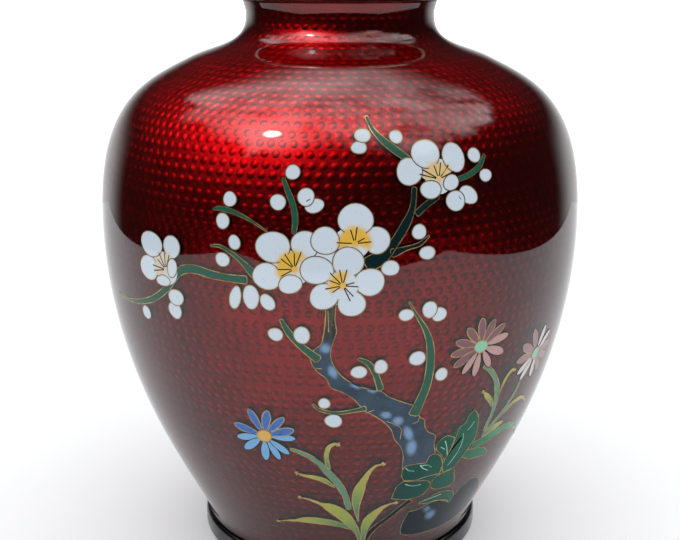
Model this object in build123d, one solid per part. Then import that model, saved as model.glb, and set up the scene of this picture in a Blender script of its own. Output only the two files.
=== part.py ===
from build123d import *
from math import radians, sin, cos, hypot, pi
import os

os.makedirs("parts", exist_ok=True)

# ---------------------------------------------------------------- driving sizes (mm)
FOOT_H = 5.6            # height of the plated foot ring
FOOT_R_OUT = 38.8
FOOT_R_IN = 33.6
LIP_H = 4.5             # height of the plated lip ring
LIP_R_OUT = 26.0
LIP_R_IN = 21.6
RING_ROUND = 1.5
FOOT_INNER_ROUND = 0.6
FOOT_TOP_ROUND = 1.1
LIP_LOWER_ROUND = 1.0
ENAMEL = 0.90           # enamel layer, from the polished skin to the foil
FOIL = 0.15             # silver foil and the flux that fixes it
COPPER = 1.20           # spun copper wall
LINING = 0.60           # counter enamel inside
FLOOR_Z = 1.80          # top of the copper floor above the body's foot edge
BASE_RECESS = 0.60      # counter enamel under the floor
BASE_R = 34.6
WIRE = 0.22             # width of a flattened silver wire
STAMEN = 0.30           # width of a stamen wire
STAMEN_START = 0.90     # stamens begin this far from the blossom centre
REACH_IN, REACH_OUT = 20.0, 80.0
CRUMB = 0.16            # smallest solid kept, in cubic mm
VEIN = 0.26             # width of a leaf vein wire
BATCH = 12              # cells cut from the ground in one operation
RAY_ROOT = 0.30         # rays start this share of the eye's width from its centre

# Body profile: cubic curves (radius, height above the body's foot edge)
BODY = [
    ((38.26, 0.0), (35.92, 4.07), (63.5, 36.75), (63.5, 84.0)),
    ((63.5, 84.0), (63.5, 115.7), (51.66, 120.30), (39.46, 126.30)),
    ((39.46, 126.30), (33.0, 129.48), (24.54, 129.50), (24.54, 136.8)),
    ((24.54, 136.8), (24.54, 139.0), (24.41, 137.42), (25.32, 140.9)),
]
STATIONS = [
    (0.0, 0.1, 0.2, 0.3, 0.42, 0.56, 0.7, 0.85),
    (0.0, 0.2, 0.4, 0.6, 0.8),
    (0.0, 0.25, 0.5, 0.75),
    (0.0, 0.5, 1.0),
]
TOP_Z = BODY[-1][3][1]
TOTAL_H = FOOT_H + TOP_Z + LIP_H


# ---------------------------------------------------------------- body of revolution
def curve_point(seg, t):
    a, b, c, d = seg
    s = 1 - t
    k = (s * s * s, 3 * s * s * t, 3 * s * t * t, t * t * t)
    return tuple(k[0] * a[i] + k[1] * b[i] + k[2] * c[i] + k[3] * d[i] for i in (0, 1))


def curve_tangent(seg, t):
    a, b, c, d = seg
    s = 1 - t
    v = [s * s * (b[i] - a[i]) + 2 * s * t * (c[i] - b[i]) + t * t * (d[i] - c[i]) for i in (0, 1)]
    n = hypot(*v) or 1.0
    return v[0] / n, v[1] / n


def skin_points(depth):
    """Profile points of the surface lying `depth` under the polished skin."""
    pts = []
    for seg, ts in zip(BODY, STATIONS):
        for t in ts:
            r, z = curve_point(seg, t)
            if z < 0.01 or z > TOP_Z - 0.01:
                pts.append((r - 1.1 * depth, z))
                continue
            tr, tz = curve_tangent(seg, t)
            pts.append((r - depth * tz, z + depth * tr))
    return pts


def turned(outline, curve=None):
    """Solid of revolution from straight runs and, if given, one smooth profile curve."""
    edges = []
    if curve:
        edges.append(Spline(*[(r, 0, z + FOOT_H) for r, z in curve]))
        outline = [curve[-1]] + outline + [curve[0]]
    pts = [(r, 0, z + FOOT_H) for r, z in outline]
    edges += [Line(p, q) for p, q in zip(pts, pts[1:])]
    return revolve(Face(Wire(edges)), Axis.Z, 360)


def core(depth, z_low=0.0):
    """Everything inside the skin at `depth`, above z_low."""
    solid = turned([(0, TOP_Z), (0, 0)], skin_points(depth))
    if z_low > 0:
        block = Pos(0, 0, FOOT_H + z_low + TOP_Z / 2) * Box(2 * REACH_OUT, 2 * REACH_OUT, TOP_Z)
        solid = solid & block
    return solid


def ring(r_in, r_out, z0, height, fillets):
    edges = [Line(p, q) for p, q in zip(
        [(r_in, 0, z0), (r_out, 0, z0), (r_out, 0, z0 + height), (r_in, 0, z0 + height)],
        [(r_out, 0, z0), (r_out, 0, z0 + height), (r_in, 0, z0 + height), (r_in, 0, z0)])]
    band = revolve(Face(Wire(edges)), Axis.Z, 360)
    for z, radius, rad in fillets:
        picks = [e for e in band.edges().filter_by(GeomType.CIRCLE)
                 if abs(e.center().Z - z) < 0.01 and abs(e.radius - radius) < 0.01]
        band = fillet(picks, rad)
    return band


# ---------------------------------------------------------------- drawing on the skin
def radius_at(z):
    """Radius of the polished skin at height z above the body's foot edge."""
    for seg in BODY:
        if seg[0][1] <= z <= seg[3][1]:
            lo, hi = 0.0, 1.0
            for _ in range(40):
                mid = (lo + hi) / 2
                if curve_point(seg, mid)[1] < z:
                    lo = mid
                else:
                    hi = mid
            return curve_point(seg, lo)[0]
    return BODY[0][0][0]


def mm_per_deg(z):
    return radius_at(z) * pi / 180


def oval(turn, z, wide, high, tilt=0.0, inset=0.0, count=12):
    """Closed list of (turn, height) points round an oval, sizes in mm on the skin."""
    a, b = wide / 2 - inset, high / 2 - inset
    k, ct, st = mm_per_deg(z), cos(radians(tilt)), sin(radians(tilt))
    pts = []
    for i in range(count):
        u, v = a * cos(2 * pi * i / count), b * sin(2 * pi * i / count)
        pts.append((turn + (u * ct - v * st) / k, z + u * st + v * ct))
    return pts


def strip(path):
    """Closed outline and its corners for a band along path = [(turn, height, width), ...]."""
    left, right = [], []
    for i, (turn, z, width) in enumerate(path):
        p, q = path[max(i - 1, 0)], path[min(i + 1, len(path) - 1)]
        k = mm_per_deg(z)
        du, dv = (q[0] - p[0]) * k, q[1] - p[1]
        n = hypot(du, dv)
        du, dv = du / n * width / 2, dv / n * width / 2
        left.append((turn - dv / k, z + du))
        right.append((turn + dv / k, z - du))
    n = len(path)
    return right + left[::-1], (0, n - 1, n, 2 * n - 1)


def slimmer(path, inset):
    """The band inside its two edge wires: narrower, and short of both ends."""
    thick = [(t, z, w - 2 * inset) for t, z, w in path if w > 2 * inset + 0.15]
    for end, near in ((0, 1), (-1, -2)):
        (t0, z0, w0), (t1, z1, _) = thick[end], thick[near]
        share = inset / hypot((t1 - t0) * mm_per_deg(z0), z1 - z0)
        thick[end] = (t0 + (t1 - t0) * share, z0 + (z1 - z0) * share, w0)
    return thick


def shrunk(points, inset):
    """The same outline moved inward by inset mm, with mitred corners."""
    out = []
    for i, p in enumerate(points):
        k = mm_per_deg(p[1])
        o, q = points[i - 1], points[(i + 1) % len(points)]
        a = ((p[0] - o[0]) * k, p[1] - o[1])
        b = ((q[0] - p[0]) * k, q[1] - p[1])
        na, nb = hypot(*a), hypot(*b)
        n1, n2 = (-a[1] / na, a[0] / na), (-b[1] / nb, b[0] / nb)
        grow = inset / max(1 + n1[0] * n2[0] + n1[1] * n2[1], 0.5)
        out.append((p[0] + (n1[0] + n2[0]) * grow / k, p[1] + (n1[1] + n2[1]) * grow))
    return out


class Patch:
    """A closed outline on the skin, cut radially through the enamel."""

    def __init__(self, points, corners=()):
        self.points, self.corners, self.path = points, corners, None
        turns, heights = [p[0] for p in points], [p[1] for p in points]
        self.turn = (min(turns) + max(turns)) / 2
        self.box = (min(turns), max(turns), min(heights), max(heights))

    def inner(self):
        """The prism inside the wire."""
        if self.path:
            points, corners = strip(slimmer(self.path, WIRE))
        else:
            points, corners = shrunk(self.points, WIRE), self.corners
        return self.prism(points, corners)

    def prism(self, points=None, corners=None):
        points, corners = points or self.points, self.corners if corners is None else corners
        flat = [(radius_at(z) * sin(radians(t - self.turn)), z + FOOT_H) for t, z in points]
        if corners:
            loop = flat + flat[:1]
            parts = [loop[a:b + 1] for a, b in zip(corners, corners[1:] + (len(flat),))]
            edges = [Line(*p) if len(p) == 2 else Spline(*p) for p in parts]
        else:
            edges = [Spline(*flat, periodic=True)]
        c, s = cos(radians(self.turn)), sin(radians(self.turn))
        plane = Plane(origin=(s * REACH_IN, -c * REACH_IN, 0), x_dir=(c, s, 0), z_dir=(s, -c, 0))
        return extrude(plane * Face(Wire(edges)), REACH_OUT - REACH_IN, dir=(s, -c, 0))

    def meets(self, other):
        a, b = self.box, other.box
        return a[0] < b[1] and b[0] < a[1] and a[2] < b[3] and b[2] < a[3]


def band(path):
    patch = Patch(*strip(path))
    patch.path = path
    return patch


# ---------------------------------------------------------------- the picture, front to back
# Ovals are (turn in degrees, height, wide, high, tilt); strips list (turn, height, width).
BLOSSOMS = [
    ("front", (0.55, 81.9, 3.3), [], [
        (1.6, 87.2, 7.2, 6.9, 0), (5.9, 82.6, 6.8, 6.6, 0), (-4.6, 85.3, 7.6, 6.6, 0),
        (-3.2, 79.3, 6.7, 6.2, 20), (2.3, 77.7, 6.5, 6.3, 0)],
        ((15, 2.6), (76, 3.7), (101, 3.6), (134, 4.0), (158, 3.1), (192, 3.9), (214, 2.8),
         (295, 3.9), (313, 3.4), (355, 3.4))),
    ("left", (-39.3, 81.6, 3.7), [(-37.4, 82.3, 3.3, 5.0, -12), (-40.4, 78.7, 5.2, 2.9, 5)], [
        (-43.8, 86.9, 8.4, 6.2, -4), (-37.4, 87.3, 5.6, 5.7, 0), (-45.0, 81.0, 7.2, 6.3, 12)],
        ((70, 3.9), (94, 3.9), (121, 4.3), (144, 3.4), (176, 4.6), (193, 4.4))),
    ("top", (2.9, 91.3, 3.3), [], [
        (3.1, 96.5, 8.0, 7.2, 0), (-2.9, 91.9, 6.6, 6.3, 0), (7.3, 91.9, 6.1, 6.3, 0)],
        ((5, 3.6), (28, 2.4), (82, 3.6), (107, 3.1), (177, 3.9))),
    ("middle", (-9.0, 85.4, 3.6), [(-9.9, 81.9, 5.7, 4.5, 15)], [
        (-13.4, 90.1, 8.2, 7.2, 0), (-14.7, 83.4, 6.9, 6.4, 0), (-6.9, 90.9, 6.4, 6.6, 0)],
        ((69, 4.2), (90, 3.5), (123, 3.9), (144, 3.7), (184, 3.7), (210, 3.4))),
    ("upper", (20.7, 104.3, 3.2), [
        (18.7, 102.2, 5.2, 4.2, 0), (23.4, 103.4, 4.3, 3.5, 25),
        (24.1, 99.4, 5.0, 4.8, 0), (27.2, 100.4, 5.5, 4.0, -30)], [
        (24.8, 108.6, 5.8, 6.5, 15), (18.4, 109.7, 6.9, 6.2, 0), (14.4, 106.2, 6.2, 6.0, 0)],
        ((20, 4.1), (46, 3.9), (76, 3.5), (106, 3.0), (149, 4.3), (164, 4.6))),
]
# White enamel without wires behind the petals, where one petal runs into the next round the throat.
BEHIND = {
    "front": [(0.55, 81.9, 9.0, 9.0, 0)],
    "left": [(-41.0, 82.6, 8.6, 6.6, 0)],
    "top": [(2.4, 92.0, 8.0, 5.6, 0)],
    "middle": [(-10.4, 86.0, 8.6, 7.2, 0), (-3.2, 88.5, 6.2, 4.2, 0)],
    "upper": [(20.2, 106.2, 7.6, 5.0, 0)],
}
BUDS = [
    (-22.9, 99.9, 3.6, 3.6, 0), (-24.3, 95.0, 3.7, 3.8, 0), (-21.6, 90.5, 3.2, 3.7, 20),
    (-24.3, 86.3, 3.9, 3.5, 0), (-18.2, 78.3, 4.2, 5.9, 0), (-21.7, 77.8, 3.1, 5.9, -15),
    (-14.7, 77.4, 3.4, 4.4, 35), (-36.9, 75.3, 5.2, 4.2, 10), (-37.6, 72.0, 4.4, 4.6, 20),
    (-47.9, 69.0, 3.7, 3.7, 0), (-12.5, 99.9, 3.9, 3.7, 0), (-6.8, 101.2, 4.0, 4.2, 0),
    (-5.1, 99.4, 4.6, 3.4, 15), (-9.7, 106.3, 3.6, 3.4, 0), (-13.3, 69.8, 3.8, 3.4, 0),
    (-7.8, 70.0, 4.0, 4.4, 0), (4.0, 60.9, 4.0, 3.4, 0), (8.6, 62.1, 3.4, 3.8, 0),
    (16.5, 63.5, 4.2, 3.9, 0), (13.5, 74.5, 3.8, 3.1, 0), (18.5, 75.3, 3.9, 4.2, 0),
    (20.7, 73.9, 3.9, 3.7, 0), (10.0, 85.6, 4.3, 3.8, 0), (15.9, 93.3, 3.6, 3.7, 0),
    (17.6, 88.5, 4.0, 3.3, 0), (4.9, 113.8, 3.9, 3.0, 0), (4.0, 111.4, 3.8, 2.8, 0),
    (12.3, 113.4, 3.3, 3.0, 0), (30.0, 108.7, 3.7, 3.4, 0), (32.1, 104.2, 3.7, 3.1, 0),
    (22.6, 58.5, 3.4, 3.7, 0), (-3.5, 52.6, 3.0, 3.1, 0), (-1.5, 47.8, 4.3, 3.9, 0),
]
TWIGS = [
    [(-19.2, 82.2, 2.1), (-23, 82.2, 1.9), (-27, 82.5, 2.1), (-31, 83.1, 2.2), (-34, 82.6, 2.2),
     (-36, 81.2, 2.1), (-38.5, 78.2, 2.0), (-41, 75.7, 1.8), (-45, 73.1, 1.7), (-50, 71.3, 1.4),
     (-55, 70.3, 1.0), (-62, 70.2, 0.7)],
    [(-14.6, 93.5, 0.5), (-18.5, 95.8, 0.8), (-22, 97.2, 1.2), (-25, 97.7, 1.2), (-26.7, 97.3, 0.6)],
    [(-16.8, 83.2, 2.2), (-18.0, 84.3, 2.0), (-20, 86.3, 1.3), (-22.5, 88.2, 1.0), (-25, 89.3, 0.9),
     (-27, 89.1, 0.6)],
    [(-9.1, 93.4, 1.2), (-8.9, 96.5, 1.5), (-9.4, 99.5, 1.5), (-10.4, 102.0, 1.4), (-11.6, 104.9, 1.0)],
    [(14.4, 108.8, 1.6), (12, 110.6, 1.8), (9.5, 112.6, 1.6), (7.3, 115, 1.1), (6.1, 117.5, 0.9)],
    [(25.4, 104.0, 1.3), (28.5, 104.9, 1.4), (31.2, 106.6, 1.3), (32.7, 108.6, 0.8)],
    [(17.2, 48.6, 3.0), (18.0, 51.2, 2.6), (19.3, 56.2, 2.3), (19.6, 61.2, 2.2), (19.2, 66, 2.0),
     (18.0, 70.1, 1.5), (15.8, 74.1, 0.9), (14.0, 77.5, 0.5)],
    [(8.8, 56.2, 1.8), (7.6, 60, 1.5), (6, 63, 1.4), (3.8, 64.4, 0.8)],
    [(-4.6, 64.2, 2.2), (-8, 67.3, 1.7), (-10.5, 70.5, 1.7), (-12, 73.5, 1.0)],
    [(5.6, 51.2, 1.6), (3, 50.6, 1.1), (-1, 50.0, 1.0), (-4.5, 50.8, 0.9), (-6, 52.3, 0.7)],
]
DARK_BRANCH = [
    [(15.5, 97.3, 1.7), (17.5, 99.0, 1.6), (20.2, 100.8, 1.6)],
    [(5.6, 86.6, 3.6), (8.2, 88.2, 3.4), (10.6, 91.0, 2.3), (13.0, 94.9, 2.2), (14.6, 98.6, 1.5),
     (15.2, 102.8, 1.3)],
    [(10.4, 88.9, 2.2), (13.5, 89.9, 1.1), (16, 90.6, 1.1), (18, 92.3, 0.6)],
]
TRUNK = [
    (-2.9, 77.5), (-3.1, 73), (-3.5, 70), (-4.0, 68), (-5.6, 66.3), (-6.2, 63.6), (-4.9, 61),
    (-3.0, 59.2), (-2.0, 56.8), (0.5, 55.6), (3.2, 53.4), (5.2, 50.6), (7.2, 49.3), (10, 47),
    (12, 44.5), (13.1, 41.6), (15, 39), (16.1, 36), (16.3, 33), (17, 30), (27, 30), (26, 33),
    (25.2, 36), (24.3, 38.5), (24, 41.2), (21.8, 42.7), (20.6, 44.6), (20.2, 46.5), (18.8, 47.6),
    (17, 50.8), (14.8, 52), (11, 54), (9, 55.7), (6, 56.6), (3, 57.9), (0.3, 60.2), (-1.5, 63.4),
    (-1.8, 66), (-1.3, 68.5), (-0.6, 71), (-0.9, 74), (-0.7, 77.5),
]
TRUNK_CORNERS = (0, 19, 20, 41)
# Ray flowers: centre (turn, height, wide, high, tilt), then (direction, reach, width) per ray.
ASTER = ((-18.5, 42.0, 4.1, 3.7, 35), [
    (112, 8.0, 2.2), (77, 7.9, 2.3), (48, 8.3, 2.0), (20, 8.1, 2.4), (1, 7.9, 2.2),
    (-40, 7.6, 2.2), (-66, 7.6, 2.2), (-97, 7.8, 2.5), (-141, 8.2, 2.4), (-167, 8.0, 2.3),
    (164, 8.0, 2.4)])
DAISY_HIGH = ((32.0, 64.0, 4.2, 3.4, 0), [
    (130, 7.1, 2.2), (95, 7.4, 2.3), (63, 7.2, 2.2), (34, 8.2, 2.2), (10, 8.8, 2.4),
    (-22, 8.6, 2.6), (-57, 7.5, 2.2), (-95, 8.0, 2.4), (-124, 8.0, 2.2), (-150, 8.3, 2.2),
    (-174, 8.4, 2.2), (162, 7.8, 2.2)])
DAISY_SIDE = ((53.4, 56.6, 4.0, 3.3, 0), [
    (180, 8.6, 2.4), (152, 8.5, 2.4), (115, 8.0, 2.3), (70, 7.6, 2.2), (36, 7.8, 2.2),
    (8, 8.0, 2.2), (-20, 8.0, 2.2), (-50, 7.8, 2.2), (-80, 7.4, 2.3), (-126, 8.0, 2.4),
    (-150, 8.2, 2.3)])
STEMS = [
    [(-12.2, 38.8, 1.1), (-10, 38.1, 1.3), (-7.5, 36.8, 1.5), (-5.3, 34.9, 1.6), (-3.5, 32.5, 1.9),
     (-1.6, 30.1, 2.0), (0, 27.5, 2.0), (1.5, 24.3, 1.7), (2.1, 21.9, 1.6), (2.7, 19.5, 1.6)],
    [(33.9, 58.4, 1.1), (36, 56.9, 1.4), (38.4, 54.1, 1.5), (40, 50.9, 1.8), (41, 47, 1.8),
     (41, 43, 1.5), (40.4, 38.5, 1.4)],
    [(49.6, 50.4, 1.2), (48.9, 48, 1.2), (47.5, 45, 1.4), (45.4, 42, 1.5), (42.8, 39.3, 1.6),
     (41, 37.6, 1.4)],
]
BLADES = [
    [(5.9, 14.8, 0.3), (5.2, 18, 1.2), (4.8, 21, 2.1), (5.0, 24.5, 3.0), (5.7, 27.3, 2.6),
     (6.7, 30, 1.7), (7.9, 32.4, 1.1), (9.4, 33.9, 0.8), (11.5, 34.2, 0.4)],
    [(-11.9, 23.1, 0.3), (-9, 22.6, 0.7), (-5.6, 21.2, 1.2), (-3.3, 20.2, 2.9), (-0.3, 18.2, 3.6),
     (2.2, 15.6, 3.2), (4.2, 13, 2.4), (5.8, 10.6, 1.6), (6.8, 8, 1.1), (7.0, 5, 0.8)],
    [(17.4, 20.3, 0.3), (15.5, 20.3, 0.7), (13.2, 19.3, 1.3), (11.2, 17.5, 2.4), (9.4, 15.2, 3.0),
     (8.5, 12.6, 2.4), (8.2, 10, 1.7), (8.2, 7, 1.2), (8.2, 4.5, 0.8)],
    [(-21.2, 12.9, 0.3), (-17.8, 13.7, 0.7), (-14.5, 14.2, 1.1), (-11, 14.8, 2.2), (-7, 14.8, 2.6),
     (-3, 14.3, 2.3), (1, 13.2, 1.7), (4, 11.8, 0.9)],
    [(-0.3, 40.7, 0.5), (-1.2, 41.1, 0.8), (-2.6, 40.2, 1.1), (-3.25, 38.4, 1.3), (-3.35, 36.4, 1.3),
     (-3.1, 34.4, 1.2), (-2.8, 33.4, 0.8)],
    [(-11.6, 31.5, 0.4), (-9.5, 30.7, 0.9), (-7, 30.3, 1.5), (-4.6, 29.6, 1.6), (-2.6, 28.2, 1.2),
     (-1.5, 27.3, 0.6)],
    [(35.3, 51.2, 0.4), (37, 49.5, 1.4), (38.8, 47.7, 1.5), (40.1, 45.6, 0.6)],
    [(45.7, 54.2, 0.6), (44.2, 54.6, 1.1), (42.8, 53.4, 1.2), (41.8, 50.9, 1.0), (41.5, 48.4, 0.5)],
    [(45.1, 40.9, 0.6), (48, 43, 1.5), (51, 44.1, 1.5), (54.5, 43.6, 1.1), (57.5, 41.6, 0.5)],
    [(40.4, 37, 1.6), (43.5, 37.9, 2.4), (46.2, 38.5, 1.9), (47.8, 38.7, 0.6)],
]
GREEN_STRIPS = [
    [(38, 34.4, 2.6), (43, 35.2, 3.2), (48, 36.1, 2.8), (52.5, 35.8, 2.2), (57, 34, 1.5),
     (61, 31.6, 0.9), (65, 29, 0.4)],
    [(35.6, 32.6, 2.2), (39, 31.6, 3.5), (42.5, 30.9, 3.1), (45.4, 29.7, 1.7), (46.5, 29.1, 0.5)],
    [(25.5, 18.5, 0.8), (28.5, 18.8, 2.2), (32, 19.4, 3.1), (36, 18.6, 3.3), (38.4, 16.9, 2.3),
     (38.9, 15.2, 0.7)],
]
GREEN_LEAVES = [
    ([(30.2, 39.2), (27.6, 40.4), (25.8, 39.6), (24.9, 38.1), (25.2, 36.5), (27.1, 34.5), (28.8, 32.5),
      (29.6, 34), (30.1, 36.5)], (0, 6)),
    ([(34, 46.5), (32.5, 44.8), (32.2, 43.1), (30.7, 42), (30.4, 39.8), (30.2, 38), (29.8, 35),
      (28.9, 32.3), (29, 30), (30, 28), (33.9, 28.9), (34.6, 30.6), (36, 33), (37, 35.2), (37.7, 37.3),
      (37.3, 40.1), (36.7, 42.7), (35.5, 45)], (0, 9, 10)),
    ([(30, 28), (28, 27.3), (26.9, 25.5), (27.5, 23.6), (29.4, 22.5), (31.5, 22.2), (35.2, 22.2),
      (36.2, 23.2), (35.8, 24.6), (34.8, 26.5), (33.9, 28.8)], (0, 10)),
    ([(23.2, 32.9), (20, 33.1), (17.2, 32.7), (16.6, 30.8), (16.9, 29.2), (17.7, 27.9), (21.4, 27.4),
      (25, 27.9), (29, 27.9), (29, 30), (28.7, 31.8), (27.1, 34.3), (25.1, 35.3), (23.6, 34.8)],
     (0, 5, 8)),
    ([(17.7, 27.8), (16, 26.3), (15.4, 23.8), (15.1, 22.1), (18.7, 21.2), (21.7, 20.8), (25.4, 21.5),
      (26.8, 23.2), (27, 25), (25.5, 26.5), (22, 27.2)], (0, 3)),
]
VEINS = [
    [(32.5, 39.8), (33.1, 38), (33, 35.1), (32.1, 32.5), (30.8, 30.2)],
    [(35.2, 42.6), (34.6, 41.5), (33.8, 40.4)],
    [(27.3, 38.8), (28.4, 36.6), (29.3, 34)],
    [(26.4, 37.1), (27.9, 36.1)],
    [(21.6, 32.4), (22.7, 31.2), (24.4, 30.2)],
    [(21.9, 32.2), (24, 31.9), (25.4, 30.9)],
    [(17.5, 32.2), (18.6, 31.2), (20.2, 30.7)],
    [(18.5, 26.6), (21, 25.6), (23.6, 25.6)],
    [(25.4, 18.9), (29, 19.4), (33, 19.9)],
]
ROOT = [(21.6, 20.3, 1.8), (18.5, 17.7, 1.6), (15.5, 14.8, 1.6), (12, 12, 1.6), (9.6, 8.6, 1.6),
        (8.6, 5.4, 1.4)]
ROCK = [
    (22.4, 16.2), (21.5, 11.5), (22.5, 7.6), (28, 6), (38, 5.4), (48, 5.8), (56, 7), (58.5, 11.5),
    (54, 16.8), (49.5, 20.2), (45, 21.3), (41.5, 19.4), (38.5, 15.6), (33, 17.7), (29, 17.4), (26, 16.3)]


def ray_oval(centre, ray):
    """Oval of one ray: from under the flower's eye out to its reach."""
    turn, z, wide = centre[0], centre[1], centre[2]
    angle, reach, width = ray
    start = wide * RAY_ROOT
    mid = (start + reach) / 2
    k = mm_per_deg(z)
    return oval(turn + mid * cos(radians(angle)) / k, z + mid * sin(radians(angle)),
                reach - start, width, angle, count=10)


def cells():
    """Every cell as (patch, enamel node, wire node or None), nearest the eye first."""
    out = []
    for name, (turn, z, eye), cupped, petals, stamens in BLOSSOMS:
        node = "blossom_" + name
        k = mm_per_deg(z)
        for p in cupped:
            out.append((Patch(oval(*p)), node + "_white", node + "_wires"))
        for a, reach in stamens:
            ca, sa = cos(radians(a)), sin(radians(a))
            line = [(turn + r * ca / k, z + r * sa, STAMEN) for r in (STAMEN_START, reach)]
            out.append((Patch(*strip(line)), None, node + "_wires"))
        out.append((Patch(oval(turn, z, 2 * eye, 2 * eye)), node + "_yellow", None))
        for p in petals:
            out.append((Patch(oval(*p)), node + "_white", node + "_wires"))
        for p in BEHIND[name]:
            out.append((Patch(oval(*p)), node + "_white", None))
    for b in BUDS:
        out.append((Patch(oval(*b)), "buds_white", "buds_wires"))
    for p in DARK_BRANCH + TWIGS:
        node = "dark_branch" if p in DARK_BRANCH else "twigs"
        out.append((band(p), node + "_green", node + "_wires"))
    for name, (centre, rays) in (("aster", ASTER), ("daisy_high", DAISY_HIGH), ("daisy_side", DAISY_SIDE)):
        out.append((Patch(oval(*centre)), name + "_eye", name + "_wires"))
        for ray in rays:
            out.append((Patch(ray_oval(centre, ray)), name + "_rays", name + "_wires"))
    for p in BLADES:
        out.append((band(p), "blades_yellow_green", "blades_wires"))
    for p in STEMS:
        out.append((band(p), "stems_green", "stems_wires"))
    for v in VEINS:
        out.append((Patch(*strip([(t, z, VEIN) for t, z in v])), None, "leaf_veins"))
    for p in GREEN_LEAVES:
        out.append((Patch(*p), "broad_leaves_green", "broad_leaves_wires"))
    for p in GREEN_STRIPS:
        out.append((band(p), "broad_leaves_green", "broad_leaves_wires"))
    out.append((Patch(TRUNK, TRUNK_CORNERS), "trunk_slate", "trunk_wires"))
    out.append((band(ROOT), "rock_slate", "rock_wires"))
    out.append((Patch(ROCK, (0, 12)), "rock_slate", "rock_wires"))
    return out


def solids_of(shape):
    return [s for s in shape.solids() if s.volume > CRUMB]


def inlay(skin):
    """Cuts every cell out of the enamel skin and sorts the solids by node."""
    nodes, done = {}, []
    for patch, fill, wires in cells():
        whole = patch.prism()
        cell = whole & skin
        fronts = [w for p, w in done if p.meets(patch)]
        if fronts:
            cell = cell - fronts
        done.append((patch, whole))
        if fill and wires:
            inner = patch.inner()
            nodes.setdefault(fill, []).extend(solids_of(cell & inner))
            nodes.setdefault(wires, []).extend(solids_of(cell - inner))
        else:
            nodes.setdefault(fill or wires, []).extend(solids_of(cell))
    return nodes, [w for _, w in done]


def ground_round(skin, prisms):
    """What is left of the enamel skin between the cells, cut a batch of cells at a time."""
    for i in range(0, len(prisms), BATCH):
        skin = skin - prisms[i:i + BATCH]
    return solids_of(skin)


def save(name, shapes, colour):
    part = Compound(children=list(shapes)) if len(shapes) > 1 else shapes[0]
    part.label = name
    part.color = Color(*colour)
    export_step(part, "parts/" + name + ".step", write_pcurves=False)


# ---------------------------------------------------------------- the pieces
def copper_body():
    """Spun copper pot with a closed floor, recessed below for the counter enamel."""
    hollow = core(ENAMEL + FOIL + COPPER, FLOOR_Z)
    recess = Pos(0, 0, FOOT_H + BASE_RECESS / 2) * Cylinder(BASE_R, BASE_RECESS)
    return core(ENAMEL + FOIL) - hollow - recess


def inner_enamel():
    """Counter enamel that lines the inside, floor and wall."""
    depth = ENAMEL + FOIL + COPPER
    return core(depth, FLOOR_Z) - core(depth + LINING, FLOOR_Z + LINING)


def base_enamel():
    return Pos(0, 0, FOOT_H + BASE_RECESS / 2) * Cylinder(BASE_R, BASE_RECESS)


def foot_ring():
    """Plated band under the body, rounded outside and less so at its inner and upper edges."""
    return ring(FOOT_R_IN, FOOT_R_OUT, 0, FOOT_H,
                [(0, FOOT_R_OUT, RING_ROUND), (0, FOOT_R_IN, FOOT_INNER_ROUND),
                 (FOOT_H, FOOT_R_OUT, FOOT_TOP_ROUND)])


def lip_ring():
    """Plated rim that caps copper and both enamels at the mouth."""
    z0 = FOOT_H + TOP_Z
    return ring(LIP_R_IN, LIP_R_OUT, z0, LIP_H,
                [(z0, LIP_R_OUT, LIP_LOWER_ROUND), (z0 + LIP_H, LIP_R_OUT, RING_ROUND),
                 (z0 + LIP_H, LIP_R_IN, RING_ROUND)])


COLOURS = {
    "white": (0.86, 0.89, 0.91), "yellow": (0.88, 0.7, 0.22), "green": (0.1, 0.34, 0.27),
    "slate": (0.2, 0.28, 0.36), "wires": (0.72, 0.66, 0.56), "veins": (0.75, 0.75, 0.68),
    "rays": (0.4, 0.58, 0.8), "eye": (0.75, 0.75, 0.4),
}

skin = core(0) - core(ENAMEL)
inlaid, prisms = inlay(skin)
for node, shapes in inlaid.items():
    save(node, shapes, COLOURS[node.split("_")[-1]])
save("ruby_ground", ground_round(skin, prisms), (0.45, 0.02, 0.03))
save("silver_foil", [core(ENAMEL) - core(ENAMEL + FOIL)], (0.8, 0.78, 0.76))
save("copper_body", [copper_body()], (0.72, 0.4, 0.25))
save("inner_enamel", [inner_enamel()], (0.1, 0.35, 0.5))
save("base_enamel", [base_enamel()], (0.1, 0.35, 0.5))
save("foot_ring", [foot_ring()], (0.78, 0.74, 0.66))
save("lip_ring", [lip_ring()], (0.78, 0.74, 0.66))
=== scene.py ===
"""Cloisonne vase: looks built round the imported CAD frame. Lengths are millimetres unless said otherwise."""
from bisect import bisect_left
from math import atan2, cos, hypot, pi, radians, sin

import bmesh
import bpy
from mathutils import Matrix, Vector


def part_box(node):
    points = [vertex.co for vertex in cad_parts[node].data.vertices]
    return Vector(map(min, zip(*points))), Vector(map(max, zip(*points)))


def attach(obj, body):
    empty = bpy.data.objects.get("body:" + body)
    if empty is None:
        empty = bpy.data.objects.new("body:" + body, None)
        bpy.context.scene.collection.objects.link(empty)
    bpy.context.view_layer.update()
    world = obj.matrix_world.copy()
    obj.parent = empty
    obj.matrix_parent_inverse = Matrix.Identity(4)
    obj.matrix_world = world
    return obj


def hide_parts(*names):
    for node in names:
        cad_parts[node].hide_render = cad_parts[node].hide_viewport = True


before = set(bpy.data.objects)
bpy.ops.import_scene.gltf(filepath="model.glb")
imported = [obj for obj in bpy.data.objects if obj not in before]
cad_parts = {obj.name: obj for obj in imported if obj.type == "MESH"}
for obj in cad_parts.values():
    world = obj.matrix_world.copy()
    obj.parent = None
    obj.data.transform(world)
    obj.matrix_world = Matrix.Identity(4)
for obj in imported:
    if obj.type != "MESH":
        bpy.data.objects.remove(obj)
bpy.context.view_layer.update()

MM = 0.001
FOOT_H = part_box("foot_ring")[1][2] / MM
TOP_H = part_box("lip_ring")[1][2] / MM
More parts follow.
